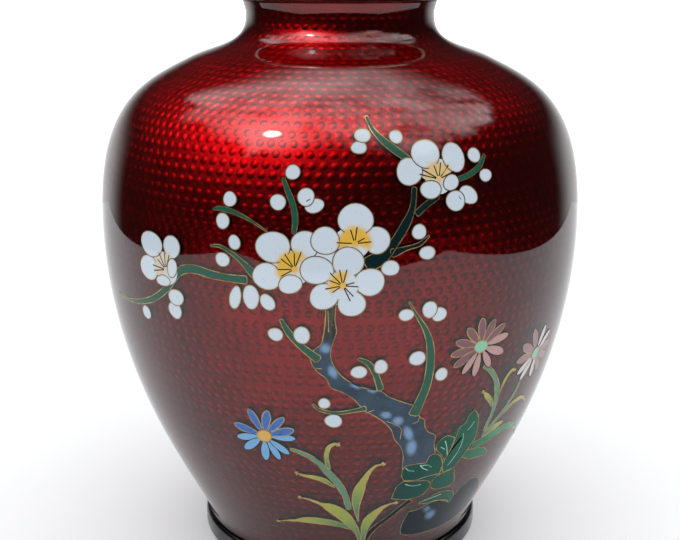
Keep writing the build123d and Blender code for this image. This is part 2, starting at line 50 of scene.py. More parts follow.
ENAMEL = 0.90      # depth of the fired enamel over the foil
FOIL = 0.15        # depth of the foil sheet
FOIL_GAP = 0.02    # between the underside of the ruby and the foil
WIRE = 0.21        # width of a flattened silver wire
STAMEN = 0.25      # width of a stamen wire
BARK_LINE = 0.18   # width of a short wire in the bark
STEP = 0.010       # each overlapping cell stands this much prouder than the one behind
CELL_TOP = -0.010  # the foremost cells lie this far from the nominal side
RUBY_GAP = 0.015   # the ruby lies this much under the hindmost cell
WIRE_PROUD = 0.005
SIDE_STEP = 1.2    # between profile points of a shell
ROW_PITCH = 2.45   # from one row of foil dimples to the next
DIMPLE_PITCH = 2.6
DIMPLE_R = 1.02
DIMPLE_RINGS = ((0.22, 0.07), (0.36, 0.08))     # each ring's inset and rise
DIMPLE_TIP = 0.035


# ---------------------------------------------------------------- body profile
BODY = [
    ((38.26, 0.0), (35.92, 4.07), (63.5, 36.75), (63.5, 84.0)),
    ((63.5, 84.0), (63.5, 115.7), (51.66, 120.30), (39.46, 126.30)),
    ((39.46, 126.30), (33.0, 129.48), (24.54, 129.50), (24.54, 136.8)),
    ((24.54, 136.8), (24.54, 139.0), (24.41, 137.42), (25.32, 140.9)),
]
TOP_Z = BODY[-1][3][1]


def profile(steps):
    """(radius, height, normal out, normal up, distance along) up the whole side, by formula."""
    out, run, last = [], 0.0, None
    for n, (a, b, c, d) in enumerate(BODY):
        for i in range(steps if n < 3 else steps + 1):
            t = i / steps
            s = 1 - t
            r, z = (s**3 * a[j] + 3 * s * s * t * b[j] + 3 * s * t * t * c[j] + t**3 * d[j] for j in (0, 1))
            u, v = (s * s * (b[j] - a[j]) + 2 * s * t * (c[j] - b[j]) + t * t * (d[j] - c[j]) for j in (0, 1))
            size = hypot(u, v)
            run += hypot(r - last[0], z - last[1]) if last else 0.0
            last = (r, z)
            out.append((r, z, v / size, -u / size, run))
    return out


SIDE = profile(120)
HEIGHTS = [p[1] for p in SIDE]


def side_at(z):
    """Radius and outward normal of the polished side at height z above the body's foot edge."""
    i = min(max(bisect_left(HEIGHTS, z), 1), len(SIDE) - 1)
    a, b = SIDE[i - 1], SIDE[i]
    t = min(max((z - a[1]) / max(b[1] - a[1], 1e-6), 0.0), 1.0)
    return tuple(a[j] + t * (b[j] - a[j]) for j in (0, 2, 3))


def mm_per_deg(z):
    return side_at(z)[0] * pi / 180


def on_side(turn, z, lift=0.0):
    """Place in metres of a point `lift` above the polished side."""
    r, out, up = side_at(z)
    r += lift * out
    return Vector((r * sin(radians(turn)), -r * cos(radians(turn)), z + FOOT_H + lift * up)) * MM


def normal_at(turn, z):
    _, out, up = side_at(z)
    return Vector((out * sin(radians(turn)), -out * cos(radians(turn)), up)).normalized()


# ---------------------------------------------------------------- making pieces
def piece(name, bm, materials, replaces=()):
    """Turns a finished bmesh into an object at the origin that rides on the vase."""
    mesh = bpy.data.meshes.new(name)
    bm.to_mesh(mesh)
    bm.free()
    for m in materials:
        mesh.materials.append(m)
    obj = bpy.data.objects.new(name, mesh)
    bpy.context.scene.collection.objects.link(obj)
    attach(obj, "root")
    if replaces:
        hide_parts(*replaces)
    return obj


def turned(outline, steps=256):
    """Spins a closed outline of (radius, height above the table) into a solid of revolution."""
    bm = bmesh.new()
    verts = [bm.verts.new((r * MM, 0, z * MM)) for r, z in outline]
    edges = [bm.edges.new(pair) for pair in zip(verts, verts[1:])]
    edges.append(bm.edges.new((verts[-1], verts[0])))
    bmesh.ops.spin(bm, geom=verts + edges, cent=(0, 0, 0), axis=(0, 0, 1), angle=2 * pi, steps=steps,
                   use_merge=True)
    bmesh.ops.remove_doubles(bm, verts=bm.verts, dist=1e-7)
    bmesh.ops.recalc_face_normals(bm, faces=bm.faces)
    for f in bm.faces:
        f.smooth = True
    return bm


def side_line(lift):
    """Profile points `lift` above the polished side, from the foot ring to the lip ring."""
    out, last = [], -SIDE_STEP
    for r, z, nr, nz, run in SIDE:
        if run - last >= SIDE_STEP or z > TOP_Z - 1e-3:
            zz = z if z < 0.01 or z > TOP_Z - 0.01 else z + lift * nz
            out.append((r + lift * nr, zz + FOOT_H))
            last = run
    return out


def rounded(cx, cz, radius, start, stop, count=6):
    """Points of an arc, angles in degrees."""
    return [(cx + radius * cos(radians(start + (stop - start) * i / count)),
             cz + radius * sin(radians(start + (stop - start) * i / count))) for i in range(count + 1)]


# ---------------------------------------------------------------- outlines of the cells
def through(points, steps):
    """Points of a smooth line through the given ones."""
    n, out = len(points), []
    for i in range(n - 1):
        quad = [points[min(max(i + j - 1, 0), n - 1)] for j in range(4)]
        for s in range(steps):
            t = s / steps
            out.append(tuple(0.5 * (2 * b + (c - a) * t + (2 * a - 5 * b + 4 * c - d) * t * t
                                    + (3 * b - a - 3 * c + d) * t**3) for a, b, c, d in zip(*quad)))
    return out + [tuple(points[-1])]


def oval(turn, z, wide, high, tilt=0.0, count=44, wobble=0.018):
    """Hand bent oval: closed list of (turn, height)."""
    k, ct, st = mm_per_deg(z), cos(radians(tilt)), sin(radians(tilt))
    pts = []
    for i in range(count):
        a = 2 * pi * i / count
        w = 1 + wobble * (sin(3 * a + turn) + 0.7 * sin(2 * a + 2.3 * z))
        u, v = wide / 2 * w * cos(a), high / 2 * w * sin(a)
        pts.append((turn + (u * ct - v * st) / k, z + u * st + v * ct))
    return pts


def band(path, steps=6, tip=0.5):
    """Closed outline along path = [(turn, height, width), ...] with softly rounded ends."""
    line = through(path, steps)
    right, left = [], []
    for i, (turn, z, width) in enumerate(line):
        p, q = line[max(i - 1, 0)], line[min(i + 1, len(line) - 1)]
        k = mm_per_deg(z)
        du, dv = (q[0] - p[0]) * k, q[1] - p[1]
        n = hypot(du, dv)
        du, dv, h = du / n, dv / n, width / 2
        if i in (0, len(line) - 1):
            out = -1 if i == 0 else 1
            for side, bag in ((1, right), (-1, left)):
                ends = [(h * side * sin(a), out * tip * h * cos(a)) for a in (radians(80), radians(30))]
                for across, along in (ends if i else ends[::-1]):
                    bag.append((turn + (du * along + dv * across) / k, z + dv * along - du * across))
            continue
        right.append((turn + dv * h / k, z - du * h))
        left.append((turn - dv * h / k, z + du * h))
    return right + left[::-1]


def outline(points, corners, steps=5):
    """Closed outline through points, smooth except at the corners."""
    out, loop = [], points + points[:1]
    for a, b in zip(corners, corners[1:] + (len(points),)):
        out += through(loop[a:b + 1], steps)[:-1]
    return out


def inside(p, loop):
    hit, j = False, len(loop) - 1
    for i in range(len(loop)):
        (x0, y0), (x1, y1) = loop[i], loop[j]
        if (y0 > p[1]) != (y1 > p[1]) and p[0] < (x1 - x0) * (p[1] - y0) / (y1 - y0) + x0:
            hit = not hit
        j = i
    return hit


class Cell:
    """One cell of the picture: an outline bent from wire and the enamel in it."""

    def __init__(self, loop, fill, wires, fan=None, tone=0.0, spine=None, rim=0.45, cut=2.6, pale=()):
        self.loop, self.fill, self.wires, self.pale = loop, fill, wires, pale
        self.fan, self.tone, self.spine, self.rim, self.cut, self.level = fan, tone, spine, rim, cut, 0
        us, vs = [p[0] for p in loop], [p[1] for p in loop]
        self.box = (min(us), max(us), min(vs), max(vs))
        self.k = mm_per_deg((self.box[2] + self.box[3]) / 2)

    def over(self, other):
        a, b = self.box, other.box
        if a[0] > b[1] or b[0] > a[1] or a[2] > b[3] or b[2] > a[3]:
            return False
        return any(inside(p, other.loop) for p in self.loop) or any(inside(p, self.loop) for p in other.loop)


def stack(cells):
    """Cells come front first; each is raised over those it covers."""
    for i in range(len(cells) - 1, -1, -1):
        below = [c.level for c in cells[i + 1:] if cells[i].over(c)]
        cells[i].level = 1 + max(below) if below else 0


def soft(x):
    x = min(max(x, 0.0), 1.0)
    return x * x * (3 - 2 * x)


def gold(fan, p, k):
    """Yellow at p: full near the centre and in the fan (centre, direction, half angle, reach, strength)."""
    (turn, z), towards, half, reach, strength = fan
    u, v = (p[0] - turn) * k, p[1] - z
    off = abs((atan2(v, u) * 180 / pi - towards + 180) % 360 - 180)
    far = hypot(u, v)
    within = max(soft((half + 18 - off) / 36), soft((1.6 - far) / 1.2))
    return strength * soft((reach + 0.5 - far) / 1.4) * within


def paleness(patch, p):
    """1 in the middle of an oval patch (turn, height, wide, high, tilt), fading to 0 past its edge."""
    turn, z, wide, high, tilt = patch
    k, c, s = mm_per_deg(z), cos(radians(tilt)), sin(radians(tilt))
    u, v = (p[0] - turn) * k, p[1] - z
    return soft(1.5 - hypot((u * c + v * s) / (wide / 2), (v * c - u * s) / (high / 2)))


def spine_share(spine, p, k):
    """How far along a path, from 0 to 1, the nearest point to p lies."""
    best, share = 1e9, 0.0
    for i, q in enumerate(spine):
        d = ((q[0] - p[0]) * k) ** 2 + (q[1] - p[1]) ** 2
        if d < best:
            best, share = d, i / (len(spine) - 1)
    return share


def flat_cell(cell):
    """Cell laid flat in x, z (mm), cut into a grid, with the wire round it. Layers mark wire and rim."""
    bm = bmesh.new()
    is_wire = bm.faces.layers.int.new("wire")
    rim = bm.verts.layers.float.new("rim")
    bm.faces.new([bm.verts.new((t * cell.k, 0, z)) for t, z in cell.loop])
    bm.normal_update()
    if cell.fill and cell.wires:
        ring = bmesh.ops.inset_region(bm, faces=bm.faces[:], thickness=WIRE, use_boundary=True,
                                      use_even_offset=True)["faces"]
        for f in ring:
            f[is_wire] = 1
    elif not cell.fill:
        for f in bm.faces:
            f[is_wire] = 1
    inner = [f for f in bm.faces if not f[is_wire]]
    if inner and cell.rim:
        bmesh.ops.inset_region(bm, faces=inner, thickness=cell.rim, use_boundary=True, use_even_offset=True)
        for v in bm.verts:
            v[rim] = float(v.is_boundary or any(f[is_wire] for f in v.link_faces))
    t0, t1, z0, z1 = cell.box
    for axis, low, high in ((0, t0 * cell.k, t1 * cell.k), (2, z0, z1)):
        count = int((high - low) / cell.cut)
        for i in range(1, count + 1):
            at, no = [0, 0, 0], [0, 0, 0]
            at[axis], no[axis] = low + (high - low) * i / (count + 1), 1
            bmesh.ops.bisect_plane(bm, geom=bm.verts[:] + bm.edges[:] + bm.faces[:], dist=1e-4,
                                   plane_co=at, plane_no=no)
    return bm


def wrapped(cell, bm, wire_faces, lift):
    """Keeps the wire faces or the enamel faces, gives them depth, and wraps them on the side."""
    part = bm.copy()
    is_wire = part.faces.layers.int["wire"]
    bmesh.ops.delete(part, geom=[f for f in part.faces if bool(f[is_wire]) != wire_faces], context="FACES")
    top = part.faces.layers.int.new("top")
    golden = part.verts.layers.float.new("gold")
    along = part.verts.layers.float.new("along")
    tone = part.verts.layers.float.new("tone")
    for f in part.faces:
        f[top] = 1
    for v in part.verts:
        spot = (v.co.x / cell.k, v.co.z)
        v[golden] = gold(cell.fan, spot, cell.k) if cell.fan else 0.0
        v[along] = spine_share(cell.spine, spot, cell.k) if cell.spine else 0.0
        v[tone] = max([cell.tone] + [paleness(p, spot) for p in cell.pale])
    fresh = bmesh.ops.extrude_face_region(part, geom=part.faces[:], use_keep_orig=True)["geom"]
    deep = {v for v in fresh if isinstance(v, bmesh.types.BMVert)}
    for f in part.faces:
        f[top] = 1 if all(v not in deep for v in f.verts) else 0
        # The side walls take the second slot, the near-black painted shade.
        f.material_index = 0 if f[top] or all(v in deep for v in f.verts) else 1
    for v in part.verts:
        v.co = on_side(v.co.x / cell.k, v.co.z, -ENAMEL if v in deep else lift)
    bmesh.ops.recalc_face_normals(part, faces=part.faces)
    tops = [f for f in part.faces if f[top]]
    if sum(f.normal.dot(f.calc_center_median() * Vector((1, 1, 0))) * f.calc_area() for f in tops) < 0:
        bmesh.ops.reverse_faces(part, faces=part.faces)
    for f in part.faces:
        f.smooth = True
    for e in part.edges:
        e.smooth = len({f[top] for f in e.link_faces}) == 1
    return part


def inlay(name, cells, want_wire, materials, node):
    """One piece from many cells, shaded with the vase's own curve so that reflections run on unbroken."""
    whole, spare = bmesh.new(), bpy.data.meshes.new("spare")
    for cell in cells:
        part = wrapped(cell, cell.flat, want_wire, cell.lift + (WIRE_PROUD if want_wire else 0.0))
        part.to_mesh(spare)
        part.free()
        whole.from_mesh(spare)
        spare.clear_geometry()
    bpy.data.meshes.remove(spare)
    obj = piece(name, whole, materials, (node,))
    polished(obj)
    return obj


def polished(obj):
    """Top faces take the exact normal of the side."""
    mesh = obj.data
    tops = mesh.attributes["top"].data
    normals = [None] * len(mesh.loops)
    for poly in mesh.polygons:
        flat = poly.normal.copy()
        for li in poly.loop_indices:
            if tops[poly.index].value:
                co = mesh.vertices[mesh.loops[li].vertex_index].co
                normals[li] = normal_at(atan2(co.x, -co.y) * 180 / pi, co.z / MM - FOOT_H)
            else:
                normals[li] = flat
    mesh.normals_split_custom_set(normals)


# ---------------------------------------------------------------- materials
def srgb(hexa, alpha=1.0):
    """sRGB hex to linear colour."""
    parts = [int(hexa[i:i + 2], 16) / 255 for i in (0, 2, 4)]
    return tuple(c / 12.92 if c <= 0.04045 else ((c + 0.055) / 1.055) ** 2.4 for c in parts) + (alpha,)


def add(tree, kind, sockets=None, **settings):
    """Adds a node with its settings; a socket given another socket is linked, anything else is its value."""
    node = tree.nodes.new("ShaderNode" + kind)
    for key, value in settings.items():
        setattr(node, key, value)
    for key, value in (sockets or {}).items():
        if isinstance(value, bpy.types.NodeSocket):
            tree.links.new(value, node.inputs[key])
        else:
            node.inputs[key].default_value = value
    return node


def material(name):
    m = bpy.data.materials.new(name)
    m.use_nodes = True
    m.node_tree.nodes.clear()
    return m, m.node_tree


def finish_with(tree, shader):
    out = add(tree, "OutputMaterial")
    tree.links.new(shader, out.inputs["Surface"])


def place(tree):
    return add(tree, "TexCoord").outputs["Object"]


def attribute(tree, name):
    return add(tree, "Attribute", attribute_name=name).outputs["Fac"]


def ramp(tree, value, stops, mode="LINEAR"):
    node = add(tree, "ValToRGB", {"Fac": value})
    node.color_ramp.interpolation = mode
    bar = node.color_ramp.elements
    while len(bar) < len(stops):
        bar.new(0.5)
    for e, (pos, colour) in zip(bar, stops):
        e.position = pos
        e.color = colour
    return node.outputs["Color"]


def mixed(tree, share, a, b, mode="MIX"):
    node = add(tree, "Mix", data_type="RGBA", blend_type=mode)
    for index, value in ((0, share), (6, a), (7, b)):
        if isinstance(value, bpy.types.NodeSocket):
            tree.links.new(value, node.inputs[index])
        else:
            node.inputs[index].default_value = value
    return node.outputs[2]


def grained(tree, size_mm, detail=3.0, rough=0.55, stretch=None):
    """Noise whose grain is size_mm across."""
    where = place(tree)
    if stretch:
        where = add(tree, "Mapping", {"Vector": where, "Scale": stretch}).outputs["Vector"]
    return add(tree, "TexNoise", {"Vector": where, "Scale": 1 / (size_mm * MM), "Detail": detail,
                                  "Roughness": rough}).outputs["Fac"]


def spread(tree, value, low, high, to_low=0.0, to_high=1.0):
    return add(tree, "MapRange", {"Value": value, "From Min": low, "From Max": high, "To Min": to_low,
                                  "To Max": to_high}).outputs["Result"]


def fired(name, base, edge, speck, grain_mm=0.5, edge_amount=0.75, shade=None, cloud=0.12, gloss=0.3):
    """Opaque enamel fired in a cell and polished flush: pits, colour grain and a warmer line at the wire."""
    m, t = material(name)
    grain = spread(t, grained(t, grain_mm), 0.35, 0.68)
    colour = shade(t) if shade else base
    colour = mixed(t, spread(t, grain, 0.0, 1.0, 0.0, cloud), colour, edge)
    rim = attribute(t, "rim")
    colour = mixed(t, spread(t, rim, 0.25, 1.0, 0.0, edge_amount), colour, edge)
    pits = spread(t, grained(t, 0.42, 1.0), 0.70, 0.78)
    colour = mixed(t, spread(t, pits, 0.0, 1.0, 0.0, 0.4), colour, speck)
    rough = spread(t, grained(t, 1.3), 0.3, 0.7, 0.05, 0.11)
    colour = mixed(t, 1.0, colour, (0.74, 0.74, 0.74, 1), "MULTIPLY")
    shader = add(t, "BsdfPrincipled", {"Base Color": colour, "Roughness": rough, "IOR": 1.50,
                                       "Specular IOR Level": gloss})
    finish_with(t, shader.outputs["BSDF"])
    return m


def ruby():
    """Transparent ruby enamel, stoned and polished: it tints what lies under it, and its skin is glossy."""
    m, t = material("ruby_enamel_polished")
    cloud = spread(t, grained(t, 14.0, 2.0), 0.35, 0.65)
    tint = mixed(t, cloud, (0.61, 0.050, 0.070, 1), (0.52, 0.036, 0.052, 1))
    clear = add(t, "BsdfTransparent", {"Color": tint})
    gloss = add(t, "BsdfGlossy", {"Color": (1, 1, 1, 1), "Roughness": 0.03})
    skin = add(t, "Fresnel", {"IOR": 1.50})
    both = add(t, "MixShader", {"Fac": skin.outputs[0], 1: clear.outputs[0], 2: gloss.outputs[0]})
    finish_with(t, both.outputs[0])
    return m


def clear_under():
    """Inner side of the ruby enamel, wetted by the foil: nothing shows there."""
    m, t = material("ruby_enamel_underside")
    finish_with(t, add(t, "BsdfTransparent", {"Color": (1, 1, 1, 1)}).outputs[0])
    return m


def foil():
    """Silver foil stamped with dimples, slightly crumpled: broken highlights, a point in each dimple."""
    m, t = material("silver_foil_stamped")
    crumple = grained(t, 1.8, 4.0, 0.6)
    fine = grained(t, 0.25, 2.0)
    colour = mixed(t, crumple, srgb("E8E2DA"), srgb("B9AFA6"))
    rough = spread(t, fine, 0.3, 0.7, 0.27, 0.38)
    bump = add(t, "Bump", {"Strength": 0.25, "Distance": 0.00008, "Height": crumple})
    shader = add(t, "BsdfPrincipled", {"Base Color": colour, "Metallic": 1.0, "Roughness": rough,
                                       "Normal": bump.outputs["Normal"]})
    finish_with(t, shader.outputs["BSDF"])
    return m


def wire():
    """Flat silver wire, bent by hand, ground flush and a little tarnished: thin pale warm lines."""
    m, t = material("silver_wire_ground_flush")
    stain = spread(t, grained(t, 2.2, 3.0), 0.35, 0.65)
    colour = mixed(t, stain, srgb("BC9C68"), srgb("7E6240"))
    # The cell's tone darkens its wire towards near black: part way round petals and buds as painted shade for
    # their dark outlines, fully on the stamens, round the paler rays and in the pale bark and rock patches.
    colour = mixed(t, attribute(t, "tone"), colour, srgb("2C231B"))
    rough = spread(t, grained(t, 0.4), 0.3, 0.7, 0.28, 0.42)
    shader = add(t, "BsdfPrincipled", {"Base Color": colour, "Metallic": 0.85, "Roughness": rough})
    finish_with(t, shader.outputs["BSDF"])
    return m


def plated(name, clean, handled):
    """Nickel silver plating, wiped and handled: soft scratches round the band and faint smudges."""
    m, t = material(name)
    smudge = spread(t, grained(t, 9.0, 3.0), 0.35, 0.7)
    lines = grained(t, 0.35, 2.0, 0.5, stretch=(0.25, 0.25, 4.0))
    colour = mixed(t, smudge, srgb(clean), srgb(handled))
    wiped, scratched = spread(t, smudge, 0.0, 1.0, 0.10, 0.2), spread(t, lines, 0.3, 0.7, 0.0, 0.08)
    rough = add(t, "Math", {0: wiped, 1: scratched}, operation="ADD").outputs[0]
    bump = add(t, "Bump", {"Strength": 0.08, "Distance": 0.00003, "Height": lines})
    shader = add(t, "BsdfPrincipled", {"Base Color": colour, "Metallic": 1.0, "Roughness": rough,
                                       "Normal": bump.outputs["Normal"]})
    finish_with(t, shader.outputs["BSDF"])
    return m


def lining():
    """Counter enamel inside and below, fired but not polished: turquoise with darker and paler flecks."""
    m, t = material("counter_enamel_fired")
    fleck = spread(t, grained(t, 1.1, 4.0, 0.7), 0.42, 0.6)
    drift = spread(t, grained(t, 12.0, 2.0), 0.35, 0.65)
    colour = mixed(t, fleck, mixed(t, drift, srgb("2F7F9E"), srgb("3A93A8")), srgb("1C5877"))
    bump = add(t, "Bump", {"Strength": 0.3, "Distance": 0.0001, "Height": grained(t, 2.5, 3.0)})
    shader = add(t, "BsdfPrincipled", {"Base Color": colour, "Roughness": spread(t, fleck, 0, 1, 0.12, 0.22),
                                       "IOR": 1.5, "Normal": bump.outputs["Normal"]})
    finish_with(t, shader.outputs["BSDF"])
    return m


def copper():
    """Spun copper, fire darkened where no enamel covers it."""
    m, t = material("copper_spun")
    scale = spread(t, grained(t, 4.0, 4.0), 0.35, 0.65)
    colour = mixed(t, scale, srgb("B5714E"), srgb("6E3F30"))
    shader = add(t, "BsdfPrincipled", {"Base Color": colour, "Metallic": 1.0, "Roughness": 0.35})
    finish_with(t, shader.outputs["BSDF"])
    return m


def vein_wire():
    """Leaf veins, brighter where polishing reached them: pale green silver lines."""
    m, t = material("silver_vein_polished")
    colour = mixed(t, spread(t, grained(t, 3.0, 2.0), 0.4, 0.65), srgb("A9D0BA"), srgb("5F9880"))
    shader = add(t, "BsdfPrincipled", {"Base Color": colour, "Metallic": 0.3, "Roughness": 0.3})
    finish_with(t, shader.outputs["BSDF"])
    return m


def wire_side():
    """Sides of the cells and wires deep in the enamel, coloured near black as painted shade: the dark halos
    round the motifs.
    """
    m, t = material("walls_painted_shade_black")
    colour = mixed(t, grained(t, 0.8), srgb("1A1412"), srgb("2E2622"))
    finish_with(t, add(t, "BsdfPrincipled", {"Base Color": colour, "Roughness": 0.5}).outputs["BSDF"])
    return m


def white_shade(t):
    """Opal white, shaded by hand into egg yellow round the stamens."""
    return mixed(t, attribute(t, "gold"), srgb("CFDDE9"), srgb("E2B64A"))


def two_tone(deep, pale):
    """Shade that goes by each ray's own enamel."""
    return lambda t: mixed(t, attribute(t, "tone"), srgb(deep), srgb(pale))


def blade_shade(t):
    """Blades run from a beige tip through yellow green to deep green at the foot."""
    return ramp(t, attribute(t, "along"), [
        (0.0, srgb("C9AF74")), (0.22, srgb("B4AE4E")), (0.55, srgb("94A54C")), (0.82, srgb("4C8858")),
        (1.0, srgb("2F6A4C"))])


def leaf_shade(t):
    """Broad leaves, deep teal green by the trunk and lighter outwards."""
    across = add(t, "SeparateXYZ", {"Vector": place(t)}).outputs["X"]
    across = add(t, "Math", {0: across, 1: spread(t, grained(t, 6.0, 3.0), 0.3, 0.7, -0.003, 0.003)},
                 operation="ADD").outputs[0]
    return ramp(t, spread(t, across, 0.015, 0.048), [
        (0.0, srgb("07433F")), (0.40, srgb("0F5A48")), (0.68, srgb("2A7C56")), (1.0, srgb("68A67E"))])


def bark_shade(t):
    """Slate blue bark with paler patches, turning to brown grey with upright grain above the fork."""
    height = add(t, "SeparateXYZ", {"Vector": place(t)}).outputs["Z"]
    lines = spread(t, grained(t, 0.7, 3.0, stretch=(1.0, 1.0, 0.12)), 0.4, 0.6)
    upper = mixed(t, lines, srgb("4A4B3E"), srgb("23251F"))
    lower = mixed(t, spread(t, grained(t, 4.0, 3.0), 0.35, 0.65), srgb("283A4B"), srgb("344B5E"))
    lower = mixed(t, attribute(t, "tone"), lower, srgb("7C9EC4"))
    return mixed(t, spread(t, height, 0.0725, 0.0765), lower, upper)


def rock_shade(t):
    """Rock and root, dark slate blue drifting into teal, with a paler patch."""
    drift = spread(t, grained(t, 7.0, 3.0), 0.35, 0.65)
    colour = mixed(t, drift, srgb("0D1A2A"), srgb("10272E"))
    return mixed(t, attribute(t, "tone"), colour, srgb("6F8FAE"))


# ---------------------------------------------------------------- the picture, front to back
# Ovals are (turn in degrees, height, wide, high, tilt); bands list (turn, height, width).
BLOSSOMS = [
    ("front", (0.55, 81.9, 3.3), [], [
        (1.6, 87.2, 7.2, 6.9, 0), (5.9, 82.6, 6.8, 6.6, 0), (-4.6, 85.3, 7.6, 6.6, 0),
        (-3.2, 79.3, 6.7, 6.2, 20), (2.3, 77.7, 6.5, 6.3, 0)],
        ((15, 2.6), (76, 3.7), (101, 3.6), (134, 4.0), (158, 3.1), (192, 3.9), (214, 2.8),
         (295, 3.9), (313, 3.4), (355, 3.4))),
    ("left", (-39.3, 81.6, 3.7), [(-37.4, 82.3, 3.3, 5.0, -12), (-40.4, 78.7, 5.2, 2.9, 5)], [
        (-43.8, 86.9, 8.4, 6.2, -4), (-37.4, 87.3, 5.6, 5.7, 0), (-45.0, 81.0, 7.2, 6.3, 12)],
        ((70, 3.9), (94, 3.9), (121, 4.3), (144, 3.4), (176, 4.6), (193, 4.4))),
    ("top", (2.9, 91.3, 3.3), [], [
        (3.1, 96.5, 8.0, 7.2, 0), (-2.9, 91.9, 6.6, 6.3, 0), (7.3, 91.9, 6.1, 6.3, 0)],
        ((5, 3.6), (28, 2.4), (82, 3.6), (107, 3.1), (177, 3.9))),
    ("middle", (-9.0, 85.4, 3.6), [(-9.9, 81.9, 5.7, 4.5, 15)], [
        (-13.4, 90.1, 8.2, 7.2, 0), (-14.7, 83.4, 6.9, 6.4, 0), (-6.9, 90.9, 6.4, 6.6, 0)],
        ((69, 4.2), (90, 3.5), (123, 3.9), (144, 3.7), (184, 3.7), (210, 3.4))),
    ("upper", (20.7, 104.3, 3.2), [
        (18.7, 102.2, 5.2, 4.2, 0), (23.4, 103.4, 4.3, 3.5, 25),
        (24.1, 99.4, 5.0, 4.8, 0), (27.2, 100.4, 5.5, 4.0, -30)], [
        (24.8, 108.6, 5.8, 6.5, 15), (18.4, 109.7, 6.9, 6.2, 0), (14.4, 106.2, 6.2, 6.0, 0)],
        ((20, 4.1), (46, 3.9), (76, 3.5), (106, 3.0), (149, 4.3), (164, 4.6))),
]
# White enamel without wires behind the petals, where one petal runs into the next round the throat.
BEHIND = {
    "front": [(0.55, 81.9, 9.0, 9.0, 0)],
    "left": [(-41.0, 82.6, 8.6, 6.6, 0)],
    "top": [(2.4, 92.0, 8.0, 5.6, 0)],
    "middle": [(-10.4, 86.0, 8.6, 7.2, 0), (-3.2, 88.5, 6.2, 4.2, 0)],
    "upper": [(20.2, 106.2, 7.6, 5.0, 0)],
}
# Yellow in each throat: direction it opens to, half angle, reach in mm, strength.
FANS = {
    "front": (140, 75, 3.4, 1.0), "left": (150, 100, 4.3, 0.45), "top": (90, 115, 3.9, 1.0),
    "middle": (135, 85, 4.4, 1.0), "upper": (92, 95, 3.9, 0.75),
}
BUDS = [
    (-22.9, 99.9, 3.6, 3.6, 0), (-24.3, 95.0, 3.7, 3.8, 0), (-21.6, 90.5, 3.2, 3.7, 20),
    (-24.3, 86.3, 3.9, 3.5, 0), (-18.2, 78.3, 4.2, 5.9, 0), (-21.7, 77.8, 3.1, 5.9, -15),
    (-14.7, 77.4, 3.4, 4.4, 35), (-36.9, 75.3, 5.2, 4.2, 10), (-37.6, 72.0, 4.4, 4.6, 20),
    (-47.9, 69.0, 3.7, 3.7, 0), (-12.5, 99.9, 3.9, 3.7, 0), (-6.8, 101.2, 4.0, 4.2, 0),
    (-5.1, 99.4, 4.6, 3.4, 15), (-9.7, 106.3, 3.6, 3.4, 0), (-13.3, 69.8, 3.8, 3.4, 0),
    (-7.8, 70.0, 4.0, 4.4, 0), (4.0, 60.9, 4.0, 3.4, 0), (8.6, 62.1, 3.4, 3.8, 0),
    (16.5, 63.5, 4.2, 3.9, 0), (13.5, 74.5, 3.8, 3.1, 0), (18.5, 75.3, 3.9, 4.2, 0),
    (20.7, 73.9, 3.9, 3.7, 0), (10.0, 85.6, 4.3, 3.8, 0), (15.9, 93.3, 3.6, 3.7, 0),
    (17.6, 88.5, 4.0, 3.3, 0), (4.9, 113.8, 3.9, 3.0, 0), (4.0, 111.4, 3.8, 2.8, 0),
    (12.3, 113.4, 3.3, 3.0, 0), (30.0, 108.7, 3.7, 3.4, 0), (32.1, 104.2, 3.7, 3.1, 0),
    (22.6, 58.5, 3.4, 3.7, 0), (-3.5, 52.6, 3.0, 3.1, 0), (-1.5, 47.8, 4.3, 3.9, 0),
]
TWIGS = [
    [(-19.2, 82.2, 2.1), (-23, 82.2, 1.9), (-27, 82.5, 2.1), (-31, 83.1, 2.2), (-34, 82.6, 2.2),
     (-36, 81.2, 2.1), (-38.5, 78.2, 2.0), (-41, 75.7, 1.8), (-45, 73.1, 1.7), (-50, 71.3, 1.4),
     (-55, 70.3, 1.0), (-62, 70.2, 0.7)],
    [(-14.6, 93.5, 0.5), (-18.5, 95.8, 0.8), (-22, 97.2, 1.2), (-25, 97.7, 1.2), (-26.7, 97.3, 0.6)],
    [(-16.8, 83.2, 2.2), (-18.0, 84.3, 2.0), (-20, 86.3, 1.3), (-22.5, 88.2, 1.0), (-25, 89.3, 0.9),
     (-27, 89.1, 0.6)],
    [(-9.1, 93.4, 1.2), (-8.9, 96.5, 1.5), (-9.4, 99.5, 1.5), (-10.4, 102.0, 1.4), (-11.6, 104.9, 1.0)],
    [(14.4, 108.8, 1.6), (12, 110.6, 1.8), (9.5, 112.6, 1.6), (7.3, 115, 1.1), (6.1, 117.5, 0.9)],
    [(25.4, 104.0, 1.3), (28.5, 104.9, 1.4), (31.2, 106.6, 1.3), (32.7, 108.6, 0.8)],
    [(17.2, 48.6, 3.0), (18.0, 51.2, 2.6), (19.3, 56.2, 2.3), (19.6, 61.2, 2.2), (19.2, 66, 2.0),
     (18.0, 70.1, 1.5), (15.8, 74.1, 0.9), (14.0, 77.5, 0.5)],
    [(8.8, 56.2, 1.8), (7.6, 60, 1.5), (6, 63, 1.4), (3.8, 64.4, 0.8)],
    [(-4.6, 64.2, 2.2), (-8, 67.3, 1.7), (-10.5, 70.5, 1.7), (-12, 73.5, 1.0)],
    [(5.6, 51.2, 1.6), (3, 50.6, 1.1), (-1, 50.0, 1.0), (-4.5, 50.8, 0.9), (-6, 52.3, 0.7)],
]
DARK_BRANCH = [
    [(15.5, 97.3, 1.7), (17.5, 99.0, 1.6), (20.2, 100.8, 1.6)],
    [(5.6, 86.6, 3.6), (8.2, 88.2, 3.4), (10.6, 91.0, 2.3), (13.0, 94.9, 2.2), (14.6, 98.6, 1.5),
     (15.2, 102.8, 1.3)],
    [(10.4, 88.9, 2.2), (13.5, 89.9, 1.1), (16, 90.6, 1.1), (18, 92.3, 0.6)],
]
